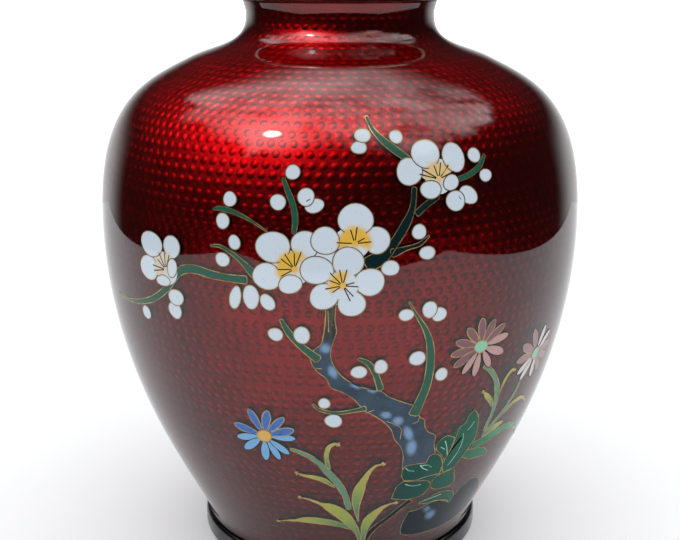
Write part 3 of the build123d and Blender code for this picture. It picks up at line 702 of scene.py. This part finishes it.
TRUNK = [
    (-2.9, 77.5), (-3.1, 73), (-3.5, 70), (-4.0, 68), (-5.6, 66.3), (-6.2, 63.6), (-4.9, 61),
    (-3.0, 59.2), (-2.0, 56.8), (0.5, 55.6), (3.2, 53.4), (5.2, 50.6), (7.2, 49.3), (10, 47),
    (12, 44.5), (13.1, 41.6), (15, 39), (16.1, 36), (16.3, 33), (17, 30), (27, 30), (26, 33),
    (25.2, 36), (24.3, 38.5), (24, 41.2), (21.8, 42.7), (20.6, 44.6), (20.2, 46.5), (18.8, 47.6),
    (17, 50.8), (14.8, 52), (11, 54), (9, 55.7), (6, 56.6), (3, 57.9), (0.3, 60.2), (-1.5, 63.4),
    (-1.8, 66), (-1.3, 68.5), (-0.6, 71), (-0.9, 74), (-0.7, 77.5),
]
TRUNK_CORNERS = (0, 19, 20, 41)
# Paler blue patches floated into the slate enamel.
BARK_PALE = [
    (-3.0, 67.0, 2.2, 2.2, 0), (-1.5, 61.0, 1.8, 3.0, 20), (3.5, 57.5, 2.6, 1.4, -20),
    (7.0, 56.0, 2.0, 1.0, -15), (10.5, 49.0, 2.4, 1.6, -20), (13.5, 47.0, 2.4, 2.2, -40),
    (16.5, 43.0, 1.9, 4.2, 25), (18.0, 38.5, 2.4, 4.4, 8),
]
ROCK_PALE = [(29.6, 15.4, 1.6, 2.4, 30), (32.4, 12.6, 2.6, 3.4, 35)]
BARK_WIRES = [
    [(10.7, 47.2), (14.3, 45), (14.6, 41.6)], [(5.6, 49.8), (7.6, 50.6)], [(15.9, 48.6), (17.5, 50.5)],
    [(17.2, 45.8), (18.4, 46.2), (18.7, 47.6)], [(-5, 61.9), (-3.9, 61.8)], [(7.8, 55.7), (8.6, 56)],
    [(-2.4, 76), (-2.3, 71)],
]
# Ray flowers: centre (turn, height, wide, high, tilt), then (direction, reach, width) per ray.
ASTER = ((-18.5, 42.0, 4.1, 3.7, 35), [
    (112, 8.0, 2.2), (77, 7.9, 2.3), (48, 8.3, 2.0), (20, 8.1, 2.4), (1, 7.9, 2.2),
    (-40, 7.6, 2.2), (-66, 7.6, 2.2), (-97, 7.8, 2.5), (-141, 8.2, 2.4), (-167, 8.0, 2.3),
    (164, 8.0, 2.4)])
DAISY_HIGH = ((32.0, 64.0, 4.2, 3.4, 0), [
    (130, 7.1, 2.2), (95, 7.4, 2.3), (63, 7.2, 2.2), (34, 8.2, 2.2), (10, 8.8, 2.4),
    (-22, 8.6, 2.6), (-57, 7.5, 2.2), (-95, 8.0, 2.4), (-124, 8.0, 2.2), (-150, 8.3, 2.2),
    (-174, 8.4, 2.2), (162, 7.8, 2.2)])
DAISY_SIDE = ((53.4, 56.6, 4.0, 3.3, 0), [
    (180, 8.6, 2.4), (152, 8.5, 2.4), (115, 8.0, 2.3), (70, 7.6, 2.2), (36, 7.8, 2.2),
    (8, 8.0, 2.2), (-20, 8.0, 2.2), (-50, 7.8, 2.2), (-80, 7.4, 2.3), (-126, 8.0, 2.4),
    (-150, 8.2, 2.3)])
# Directions of the rays fired in the paler enamel.
ASTER_PALE = (1, -40, -66, -97, -141, -167)
HIGH_PALE = (10, -22, -57, -95, -124)
SIDE_PALE = (70, 36, -80, -126, -150)
STEMS = [
    [(-12.2, 38.8, 1.1), (-10, 38.1, 1.3), (-7.5, 36.8, 1.5), (-5.3, 34.9, 1.6), (-3.5, 32.5, 1.9),
     (-1.6, 30.1, 2.0), (0, 27.5, 2.0), (1.5, 24.3, 1.7), (2.1, 21.9, 1.6), (2.7, 19.5, 1.6)],
    [(33.9, 58.4, 1.1), (36, 56.9, 1.4), (38.4, 54.1, 1.5), (40, 50.9, 1.8), (41, 47, 1.8),
     (41, 43, 1.5), (40.4, 38.5, 1.4)],
    [(49.6, 50.4, 1.2), (48.9, 48, 1.2), (47.5, 45, 1.4), (45.4, 42, 1.5), (42.8, 39.3, 1.6),
     (41, 37.6, 1.4)],
]
BLADES = [
    [(11.5, 34.2, 0.4), (9.4, 33.9, 0.8), (7.9, 32.4, 1.1), (6.7, 30, 1.7), (5.7, 27.3, 2.6),
     (5.0, 24.5, 3.0), (4.8, 21, 2.1), (5.2, 18, 1.2), (5.9, 14.8, 0.3)],
    [(-11.9, 23.1, 0.3), (-9, 22.6, 0.7), (-5.6, 21.2, 1.2), (-3.3, 20.2, 2.9), (-0.3, 18.2, 3.6),
     (2.2, 15.6, 3.2), (4.2, 13, 2.4), (5.8, 10.6, 1.6), (6.8, 8, 1.1), (7.0, 5, 0.8)],
    [(17.4, 20.3, 0.3), (15.5, 20.3, 0.7), (13.2, 19.3, 1.3), (11.2, 17.5, 2.4), (9.4, 15.2, 3.0),
     (8.5, 12.6, 2.4), (8.2, 10, 1.7), (8.2, 7, 1.2), (8.2, 4.5, 0.8)],
    [(-21.2, 12.9, 0.3), (-17.8, 13.7, 0.7), (-14.5, 14.2, 1.1), (-11, 14.8, 2.2), (-7, 14.8, 2.6),
     (-3, 14.3, 2.3), (1, 13.2, 1.7), (4, 11.8, 0.9)],
    [(-0.3, 40.7, 0.5), (-1.2, 41.1, 0.8), (-2.6, 40.2, 1.1), (-3.25, 38.4, 1.3), (-3.35, 36.4, 1.3),
     (-3.1, 34.4, 1.2), (-2.8, 33.4, 0.8)],
    [(-11.6, 31.5, 0.4), (-9.5, 30.7, 0.9), (-7, 30.3, 1.5), (-4.6, 29.6, 1.6), (-2.6, 28.2, 1.2),
     (-1.5, 27.3, 0.6)],
    [(35.3, 51.2, 0.4), (37, 49.5, 1.4), (38.8, 47.7, 1.5), (40.1, 45.6, 0.6)],
    [(45.7, 54.2, 0.6), (44.2, 54.6, 1.1), (42.8, 53.4, 1.2), (41.8, 50.9, 1.0), (41.5, 48.4, 0.5)],
    [(57.5, 41.6, 0.5), (54.5, 43.6, 1.1), (51, 44.1, 1.5), (48, 43, 1.5), (45.1, 40.9, 0.6)],
    [(47.8, 38.7, 0.6), (46.2, 38.5, 1.9), (43.5, 37.9, 2.4), (40.4, 37, 1.6)],
]
GREEN_STRIPS = [
    [(65, 29, 0.4), (61, 31.6, 0.9), (57, 34, 1.5), (52.5, 35.8, 2.2), (48, 36.1, 2.8), (43, 35.2, 3.2),
     (38, 34.4, 2.6)],
    [(46.5, 29.1, 0.5), (45.4, 29.7, 1.7), (42.5, 30.9, 3.1), (39, 31.6, 3.5), (35.6, 32.6, 2.2)],
    [(25.5, 18.5, 0.8), (28.5, 18.8, 2.2), (32, 19.4, 3.1), (36, 18.6, 3.3), (38.4, 16.9, 2.3),
     (38.9, 15.2, 0.7)],
]
GREEN_LEAVES = [
    ([(30.2, 39.2), (27.6, 40.4), (25.8, 39.6), (24.9, 38.1), (25.2, 36.5), (27.1, 34.5), (28.8, 32.5),
      (29.6, 34), (30.1, 36.5)], (0, 6)),
    ([(34, 46.5), (32.5, 44.8), (32.2, 43.1), (30.7, 42), (30.4, 39.8), (30.2, 38), (29.8, 35),
      (28.9, 32.3), (29, 30), (30, 28), (33.9, 28.9), (34.6, 30.6), (36, 33), (37, 35.2), (37.7, 37.3),
      (37.3, 40.1), (36.7, 42.7), (35.5, 45)], (0, 9, 10)),
    ([(30, 28), (28, 27.3), (26.9, 25.5), (27.5, 23.6), (29.4, 22.5), (31.5, 22.2), (35.2, 22.2),
      (36.2, 23.2), (35.8, 24.6), (34.8, 26.5), (33.9, 28.8)], (0, 10)),
    ([(23.2, 32.9), (20, 33.1), (17.2, 32.7), (16.6, 30.8), (16.9, 29.2), (17.7, 27.9), (21.4, 27.4),
      (25, 27.9), (29, 27.9), (29, 30), (28.7, 31.8), (27.1, 34.3), (25.1, 35.3), (23.6, 34.8)],
     (0, 5, 8)),
    ([(17.7, 27.8), (16, 26.3), (15.4, 23.8), (15.1, 22.1), (18.7, 21.2), (21.7, 20.8), (25.4, 21.5),
      (26.8, 23.2), (27, 25), (25.5, 26.5), (22, 27.2)], (0, 3)),
]
# Green without wires behind the broad leaves, where they meet.
UNDER_LEAVES = [(23.5, 27.6, 11.5, 3.6, 0), (29.6, 30.0, 5.0, 8.0, 0), (30.3, 38.0, 2.6, 9.0, -8)]
VEINS = [
    [(32.5, 39.8), (33.1, 38), (33, 35.1), (32.1, 32.5), (30.8, 30.2)],
    [(35.2, 42.6), (34.6, 41.5), (33.8, 40.4)],
    [(27.3, 38.8), (28.4, 36.6), (29.3, 34)],
    [(26.4, 37.1), (27.9, 36.1)],
    [(21.6, 32.4), (22.7, 31.2), (24.4, 30.2)],
    [(21.9, 32.2), (24, 31.9), (25.4, 30.9)],
    [(17.5, 32.2), (18.6, 31.2), (20.2, 30.7)],
    [(18.5, 26.6), (21, 25.6), (23.6, 25.6)],
    [(25.4, 18.9), (29, 19.4), (33, 19.9)],
]
ROOT = [(21.6, 20.3, 1.8), (18.5, 17.7, 1.6), (15.5, 14.8, 1.6), (12, 12, 1.6), (9.6, 8.6, 1.6),
        (8.6, 5.4, 1.4)]
ROCK = [
    (22.4, 16.2), (21.5, 11.5), (22.5, 7.6), (28, 6), (38, 5.4), (48, 5.8), (56, 7), (58.5, 11.5),
    (54, 16.8), (49.5, 20.2), (45, 21.3), (41.5, 19.4), (38.5, 15.6), (33, 17.7), (29, 17.4), (26, 16.3)]


RAY_ROOT = 0.30             # rays start this share of the eye's width from its centre
STAMEN_START = 0.7          # stamens begin this far from the blossom centre


def ray_oval(centre, ray):
    """Oval of one ray, from the flower's eye out to its reach, a little broader towards the tip."""
    turn, z, wide = centre[:3]
    angle, reach, width = ray
    start, k = wide * RAY_ROOT, mm_per_deg(z)
    ca, sa = cos(radians(angle)), sin(radians(angle))
    pts = []
    for i in range(34):
        a = 2 * pi * i / 34
        u = (start + reach) / 2 + (reach - start) / 2 * cos(a)
        v = width / 2 * sin(a) * (1 + 0.22 * cos(a)) * (1 - 0.18 * cos(a) ** 4)
        pts.append((turn + (u * ca - v * sa) / k, z + u * sa + v * ca))
    return pts


def line_band(points, width=WIRE):
    return band([(t, z, width) for t, z in points], steps=4, tip=0.3)


def all_cells():
    """Every cell, nearest the eye first."""
    out = []
    for name, (turn, z, eye_r), cupped, petals, stamens in BLOSSOMS:
        white, wires = "blossom_%s_white" % name, "blossom_%s_wires" % name
        fan, k = ((turn, z),) + FANS[name], mm_per_deg(z)
        # tone on the petals darkens only their wires: painted shade for the dark outline round them.
        out += [Cell(oval(*p), white, wires, tone=0.35) for p in cupped]
        for a, reach in stamens:
            ca, sa = cos(radians(a)), sin(radians(a))
            ends = [(turn + r * ca / k, z + r * sa) for r in (STAMEN_START, reach)]
            out.append(Cell(line_band(ends, STAMEN), None, wires, tone=1.0))
        out.append(Cell(oval(turn, z, 2 * eye_r, 2 * eye_r, wobble=0.0), "blossom_%s_yellow" % name, None,
                        fan=fan, rim=0.0, cut=0.5))
        out += [Cell(oval(*p), white, wires, fan=fan, tone=0.35, cut=1.0) for p in petals]
        out += [Cell(oval(*p), white, None, fan=fan, rim=0.0, cut=0.8) for p in BEHIND[name]]
    # tone on the buds darkens only their wires: painted shade for the dark outline round them.
    out += [Cell(oval(*b), "buds_white", "buds_wires", tone=0.3) for b in BUDS]
    for paths, node in ((DARK_BRANCH, "dark_branch"), (TWIGS, "twigs")):
        out += [Cell(band(p), node + "_green", node + "_wires", spine=through(p, 6), rim=0.2) for p in paths]
    for name, (centre, rays), pale in (("aster", ASTER, ASTER_PALE), ("daisy_high", DAISY_HIGH, HIGH_PALE),
                                       ("daisy_side", DAISY_SIDE, SIDE_PALE)):
        out.append(Cell(oval(*centre), name + "_eye", name + "_wires"))
        out += [Cell(ray_oval(centre, r), name + "_rays", name + "_wires", rim=0.3, tone=float(r[0] in pale))
                for r in rays]
    for paths, fill, wires in ((BLADES, "blades_yellow_green", "blades_wires"),
                               (STEMS, "stems_green", "stems_wires")):
        out += [Cell(band(p), fill, wires, spine=through(p, 6), rim=0.25) for p in paths]
    out += [Cell(line_band(v), None, "leaf_veins") for v in VEINS]
    out += [Cell(outline(*p), "broad_leaves_green", "broad_leaves_wires", rim=0.35) for p in GREEN_LEAVES]
    out += [Cell(band(p), "broad_leaves_green", "broad_leaves_wires", spine=through(p, 6), rim=0.3)
            for p in GREEN_STRIPS]
    out += [Cell(oval(*p), "broad_leaves_green", None, rim=0.0) for p in UNDER_LEAVES]
    out += [Cell(line_band(v, BARK_LINE), None, "trunk_wires") for v in BARK_WIRES]
    out.append(Cell(outline(TRUNK, TRUNK_CORNERS), "trunk_slate", "trunk_wires", rim=0.3, cut=0.6,
                    pale=BARK_PALE))
    out.append(Cell(band(ROOT), "rock_slate", "rock_wires", spine=through(ROOT, 6), rim=0.3))
    out.append(Cell(outline(ROCK, (0, 12)), "rock_slate", "rock_wires", rim=0.3, cut=0.9, pale=ROCK_PALE))
    return out


# ---------------------------------------------------------------- enamel and wire, cell by cell
cells = all_cells()
stack(cells)
highest = max(c.level for c in cells)
for c in cells:
    c.lift = CELL_TOP - STEP * (highest - c.level)
    c.flat = flat_cell(c)
SKIN = CELL_TOP - RUBY_GAP - STEP * (highest + 1)      # polished face of the ruby, under the hindmost cell

EDGE, SPECK = srgb("B9A689"), srgb("8C8577")
# black is the near-black painted shade on the side walls of every cell and wire.
silver, black = wire(), wire_side()
white = fired("opal_white_enamel", None, EDGE, SPECK, 0.5, 0.45, white_shade, 0.04, 0.5)
yellow = fired("egg_yellow_enamel", None, srgb("C49A3C"), SPECK, 0.5, 0.3, white_shade)
green = fired("twig_green_enamel", srgb("205A49"), srgb("123A2F"), srgb("3F7A67"), 0.6, 0.4)
dark = fired("teal_black_enamel", srgb("0E2426"), srgb("081516"), srgb("24474A"), 0.7, 0.3)


def set_cells(node, want_wire, materials, label):
    inlay(label, [c for c in cells if (c.wires if want_wire else c.fill) == node], want_wire,
          materials + [black], node)


for name in ("front", "left", "top", "middle", "upper"):
    set_cells("blossom_%s_white" % name, False, [white], "petals_" + name)
    set_cells("blossom_%s_yellow" % name, False, [yellow], "throat_" + name)
set_cells("buds_white", False, [white], "buds")
set_cells("dark_branch_green", False, [dark], "dark_branch")
set_cells("twigs_green", False, [green], "twigs")
mint = fired("mint_enamel", srgb("8CCDB0"), srgb("6D9A86"), srgb("B9E2D0"), 0.5, 0.5)
for name, look, slot in (
        ("aster_rays", fired("cobalt_and_sky_blue_enamel", None, srgb("A9BCCB"), srgb("4F86B8"), 0.5, 0.45,
                             two_tone("2C68B8", "70AEE0")), "blue_enamel"),
        ("aster_eye", fired("straw_yellow_enamel", srgb("DDB45E"), srgb("A88A58"), SPECK, 0.5, 0.5),
         "yellow_enamel"),
        ("daisy_high_rays", fired("plum_and_pink_enamel", None, srgb("9C8480"), srgb("7A5C62"), 0.6, 0.35,
                                  two_tone("7C5660", "BE9896")), "pink_enamel"),
        ("daisy_high_eye", mint, "mint_enamel"),
        ("daisy_side_rays", fired("rose_and_white_enamel", None, srgb("A79A98"), srgb("8A7A7E"), 0.6, 0.35,
                                  two_tone("A07E8C", "D8D5D2")), "pink_enamel"),
        ("daisy_side_eye", mint, "mint_enamel")):
    set_cells(name, False, [look], name)
for node, look, slot, label in (
        ("blades_yellow_green", fired("yellow_green_enamel", None, srgb("C2AC84"), srgb("6E7A44"), 0.6, 0.7,
                                      blade_shade), "yellow_green_enamel", "blades"),
        ("stems_green", fired("stem_green_enamel", srgb("648F76"), srgb("3F6B55"), srgb("93B29C"), 0.6, 0.4),
         "stem_green_enamel", "stems"),
        ("broad_leaves_green", fired("leaf_green_enamel", None, srgb("12403A"), srgb("5E9C80"), 0.8, 0.3,
                                     leaf_shade, gloss=0.15), "leaf_green_enamel", "broad_leaves"),
        ("trunk_slate", fired("slate_blue_enamel", None, srgb("25333E"), srgb("7F9AB2"), 0.8, 0.25,
                              bark_shade), "slate_enamel", "trunk"),
        ("rock_slate", fired("dark_rock_enamel", None, srgb("16242C"), srgb("4D6B84"), 0.8, 0.25,
                             rock_shade, gloss=0.12), "rock_enamel", "rock")):
    set_cells(node, False, [look], label)
for node in sorted({c.wires for c in cells if c.wires}):
    set_cells(node, True, [vein_wire() if node == "leaf_veins" else silver],
              node.replace("_wires", "_wire"))
for c in cells:
    c.flat.free()


# ---------------------------------------------------------------- ruby ground and foil
def shell(outer_lift, inner_lift):
    """Closed skin between two depths, from the foot ring to the lip ring."""
    return turned(side_line(outer_lift) + side_line(inner_lift)[::-1])


skin = shell(SKIN, -ENAMEL + FOIL_GAP)
for f in skin.faces:
    mid = f.calc_center_median()
    facing_out = f.normal.dot(normal_at(atan2(mid.x, -mid.y) * 180 / pi, mid.z / MM - FOOT_H)) > 0
    f.material_index = 0 if facing_out else 1
piece("ruby_enamel", skin, [ruby(), clear_under()], ("ruby_ground",))

stamped = foil()
piece("foil_sheet", shell(-ENAMEL, -ENAMEL - FOIL), [stamped], ("silver_foil",))


def dimple_rows(z0, z1):
    """Rows of small raised domes stamped in the foil, each row turned by its own step."""
    whole, spare = bmesh.new(), bpy.data.meshes.new("spare")
    length = SIDE[-1][4]
    for row in range(1, int(length / ROW_PITCH)):
        r, z, out, up, _ = SIDE[bisect_left([p[4] for p in SIDE], row * ROW_PITCH)]
        if not z0 <= z < z1 or z < 1.5 or z > TOP_Z - 1.5:
            continue
        count = int(2 * pi * r / DIMPLE_PITCH)
        start = (row % 2) * pi / count + 0.07 * sin(row * 2.3)
        bm = bmesh.new()
        bmesh.ops.create_circle(bm, segments=9, radius=DIMPLE_R * MM, cap_ends=True)
        for shrink, rise in DIMPLE_RINGS:
            bmesh.ops.inset_individual(bm, faces=[f for f in bm.faces if len(f.verts) == 9],
                                       thickness=shrink * MM, depth=rise * MM)
        bmesh.ops.poke(bm, faces=[f for f in bm.faces if len(f.verts) == 9], offset=DIMPLE_TIP * MM)
        n = Vector((out, 0, up)).normalized()
        turn_to = Vector((0, 0, 1)).rotation_difference(n).to_matrix().to_4x4()
        sunk = -ENAMEL - FOIL_GAP
        at = Vector((r + sunk * out, 0, z + FOOT_H + sunk * up)) * MM
        bm.transform(Matrix.Rotation(start, 4, "Z") @ Matrix.Translation(at) @ turn_to)
        for f in bm.faces:
            f.smooth = True
        bmesh.ops.spin(bm, geom=bm.verts[:] + bm.edges[:] + bm.faces[:], cent=(0, 0, 0), axis=(0, 0, 1),
                       angle=2 * pi * (count - 1) / count, steps=count - 1, use_duplicate=True)
        bm.to_mesh(spare)
        bm.free()
        whole.from_mesh(spare)
        spare.clear_geometry()
    bpy.data.meshes.remove(spare)
    return whole


for label, z0, z1 in (("lower", 0, 58), ("middle", 58, 100), ("upper", 100, 142)):
    piece("foil_dimples_" + label, dimple_rows(z0, z1), [stamped], ())

# ---------------------------------------------------------------- plated rings
FOOT_IN, FOOT_OUT = 33.6, 38.8
LIP_IN, LIP_OUT = 21.6, 26.0
LIP_Z = FOOT_H + TOP_Z
foot = (rounded(FOOT_IN + 0.6, 0.6, 0.6, 180, 270) + rounded(FOOT_OUT - 1.5, 1.5, 1.5, 270, 360, 10)
        + rounded(FOOT_OUT - 1.1, FOOT_H - 1.1, 1.1, 0, 90, 8) + [(FOOT_IN, FOOT_H)])
dulled = plated("nickel_silver_dulled", "57585C", "3A3B40")
piece("foot_band", turned(foot), [dulled], ("foot_ring",))
lip = (rounded(LIP_OUT - 1.0, LIP_Z + 1.0, 1.0, 270, 360, 8)
       + rounded(LIP_OUT - 1.5, TOP_H - 1.5, 1.5, 0, 90, 10)
       + rounded(LIP_IN + 1.5, TOP_H - 1.5, 1.5, 90, 180, 10) + [(LIP_IN, LIP_Z)])
bright = plated("nickel_silver_plated", "B4AC9E", "8C8376")
piece("lip_band", turned(lip), [bright], ("lip_ring",))

# ---------------------------------------------------------------- CAD nodes that keep their mesh
enamelled, spun = lining(), copper()
for node, look in (("copper_body", spun), ("inner_enamel", enamelled), ("base_enamel", enamelled)):
    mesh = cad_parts[node].data
    for i in range(len(mesh.materials)):
        mesh.materials[i] = look

# ---------------------------------------------------------------- floor, light, camera
m, t = material("white_paper_matt")
paper = mixed(t, spread(t, grained(t, 60.0, 2.0), 0.3, 0.7), (0.95, 0.96, 0.98, 1), (0.96, 0.97, 0.99, 1))
finish_with(t, add(t, "BsdfDiffuse", {"Color": paper}).outputs[0])
ground = bmesh.new()
bmesh.ops.create_grid(ground, x_segments=1, y_segments=1, size=0.42)
bmesh.ops.translate(ground, verts=ground.verts, vec=(0, 0.02, 0))
mesh = bpy.data.meshes.new("floor")
ground.to_mesh(mesh)
ground.free()
mesh.materials.append(m)
floor = bpy.data.objects.new("floor", mesh)
bpy.context.scene.collection.objects.link(floor)

# Soft white light from all round. What the polish mirrors is a dark room with a pale backdrop behind the
# vase, a ragged patch of sky overhead and a small lamp, and the foil under the ruby has a broad glow as well.
world = bpy.data.worlds.new("studio")
bpy.context.scene.world = world
world.use_nodes = True
t = world.node_tree
t.nodes.clear()
SOFT_LIGHT = 1.20
TO_LAMP, TO_GLOW = (-0.426, -0.360, 0.830), (-0.50, -0.30, 0.80)


def times(x, y):
    return add(t, "Math", {0: x, 1: y}, operation="MULTIPLY").outputs[0]


def plus(x, y):
    return add(t, "Math", {0: x, 1: y}, operation="ADD").outputs[0]


def step(value, low, high):
    return add(t, "MapRange", {"Value": value, "From Min": low, "From Max": high},
               interpolation_type="SMOOTHSTEP").outputs["Result"]


def toward(way_to, low, high):
    """Light that grows from nothing to full between two angles off one direction."""
    near = add(t, "VectorMath", {0: way, 1: Vector(way_to).normalized()}, operation="DOT_PRODUCT")
    return step(near.outputs["Value"], low, high)


way = add(t, "TexCoord").outputs["Generated"]
axes = add(t, "SeparateXYZ", {"Vector": way})
x, y, z = (axes.outputs[name] for name in "XYZ")
backdrop = times(step(y, 0.50, 0.80), step(z, 0.25, -0.05))
room = plus(times(backdrop, 0.95), 0.02)
uneven = add(t, "TexNoise", {"Vector": way, "Scale": 3.2, "Detail": 4.0, "Roughness": 0.6}).outputs["Fac"]
ragged = add(t, "Math", {0: uneven, 1: 0.45, 2: z}, operation="MULTIPLY_ADD").outputs[0]
sky = times(step(ragged, 0.82, 0.92), times(step(y, 0.66, 0.44), step(y, -0.72, -0.42)))
sky = times(times(sky, step(x, -0.82, -0.50)), times(step(uneven, 0.2, 0.7), 3.2))
lamp = plus(times(toward(TO_LAMP, 0.9972, 0.9994), 30.0), times(toward(TO_LAMP, 0.955, 0.999), 1.2))
mirror = plus(plus(room, sky), lamp)
through_ruby = plus(mirror, times(toward(TO_GLOW, 0.74, 0.98), 5.5))
ray = add(t, "LightPath")
under = add(t, "Math", {0: ray.outputs["Transparent Depth"], 1: 0.5}, operation="GREATER_THAN").outputs[0]
mirror = add(t, "Mix", {0: under, 2: mirror, 3: through_ruby}, data_type="FLOAT").outputs[0]
glossy = ray.outputs["Is Glossy Ray"]
level = add(t, "Mix", {0: glossy, 2: SOFT_LIGHT, 3: mirror}, data_type="FLOAT").outputs[0]
glow = add(t, "Background", {"Color": (1, 1, 1, 1), "Strength": level})
out = add(t, "OutputWorld")
t.links.new(glow.outputs[0], out.inputs["Surface"])

view = bpy.data.cameras.new("camera")
view.lens, view.sensor_width = 58.42, 36
eye = bpy.data.objects.new("camera", view)
eye.location = (0, -0.2945, 0.1547)
eye.rotation_euler = (radians(74.6), 0, 0)
bpy.context.scene.collection.objects.link(eye)
bpy.context.scene.camera = eye
bpy.context.scene.view_settings.view_transform = "Standard"
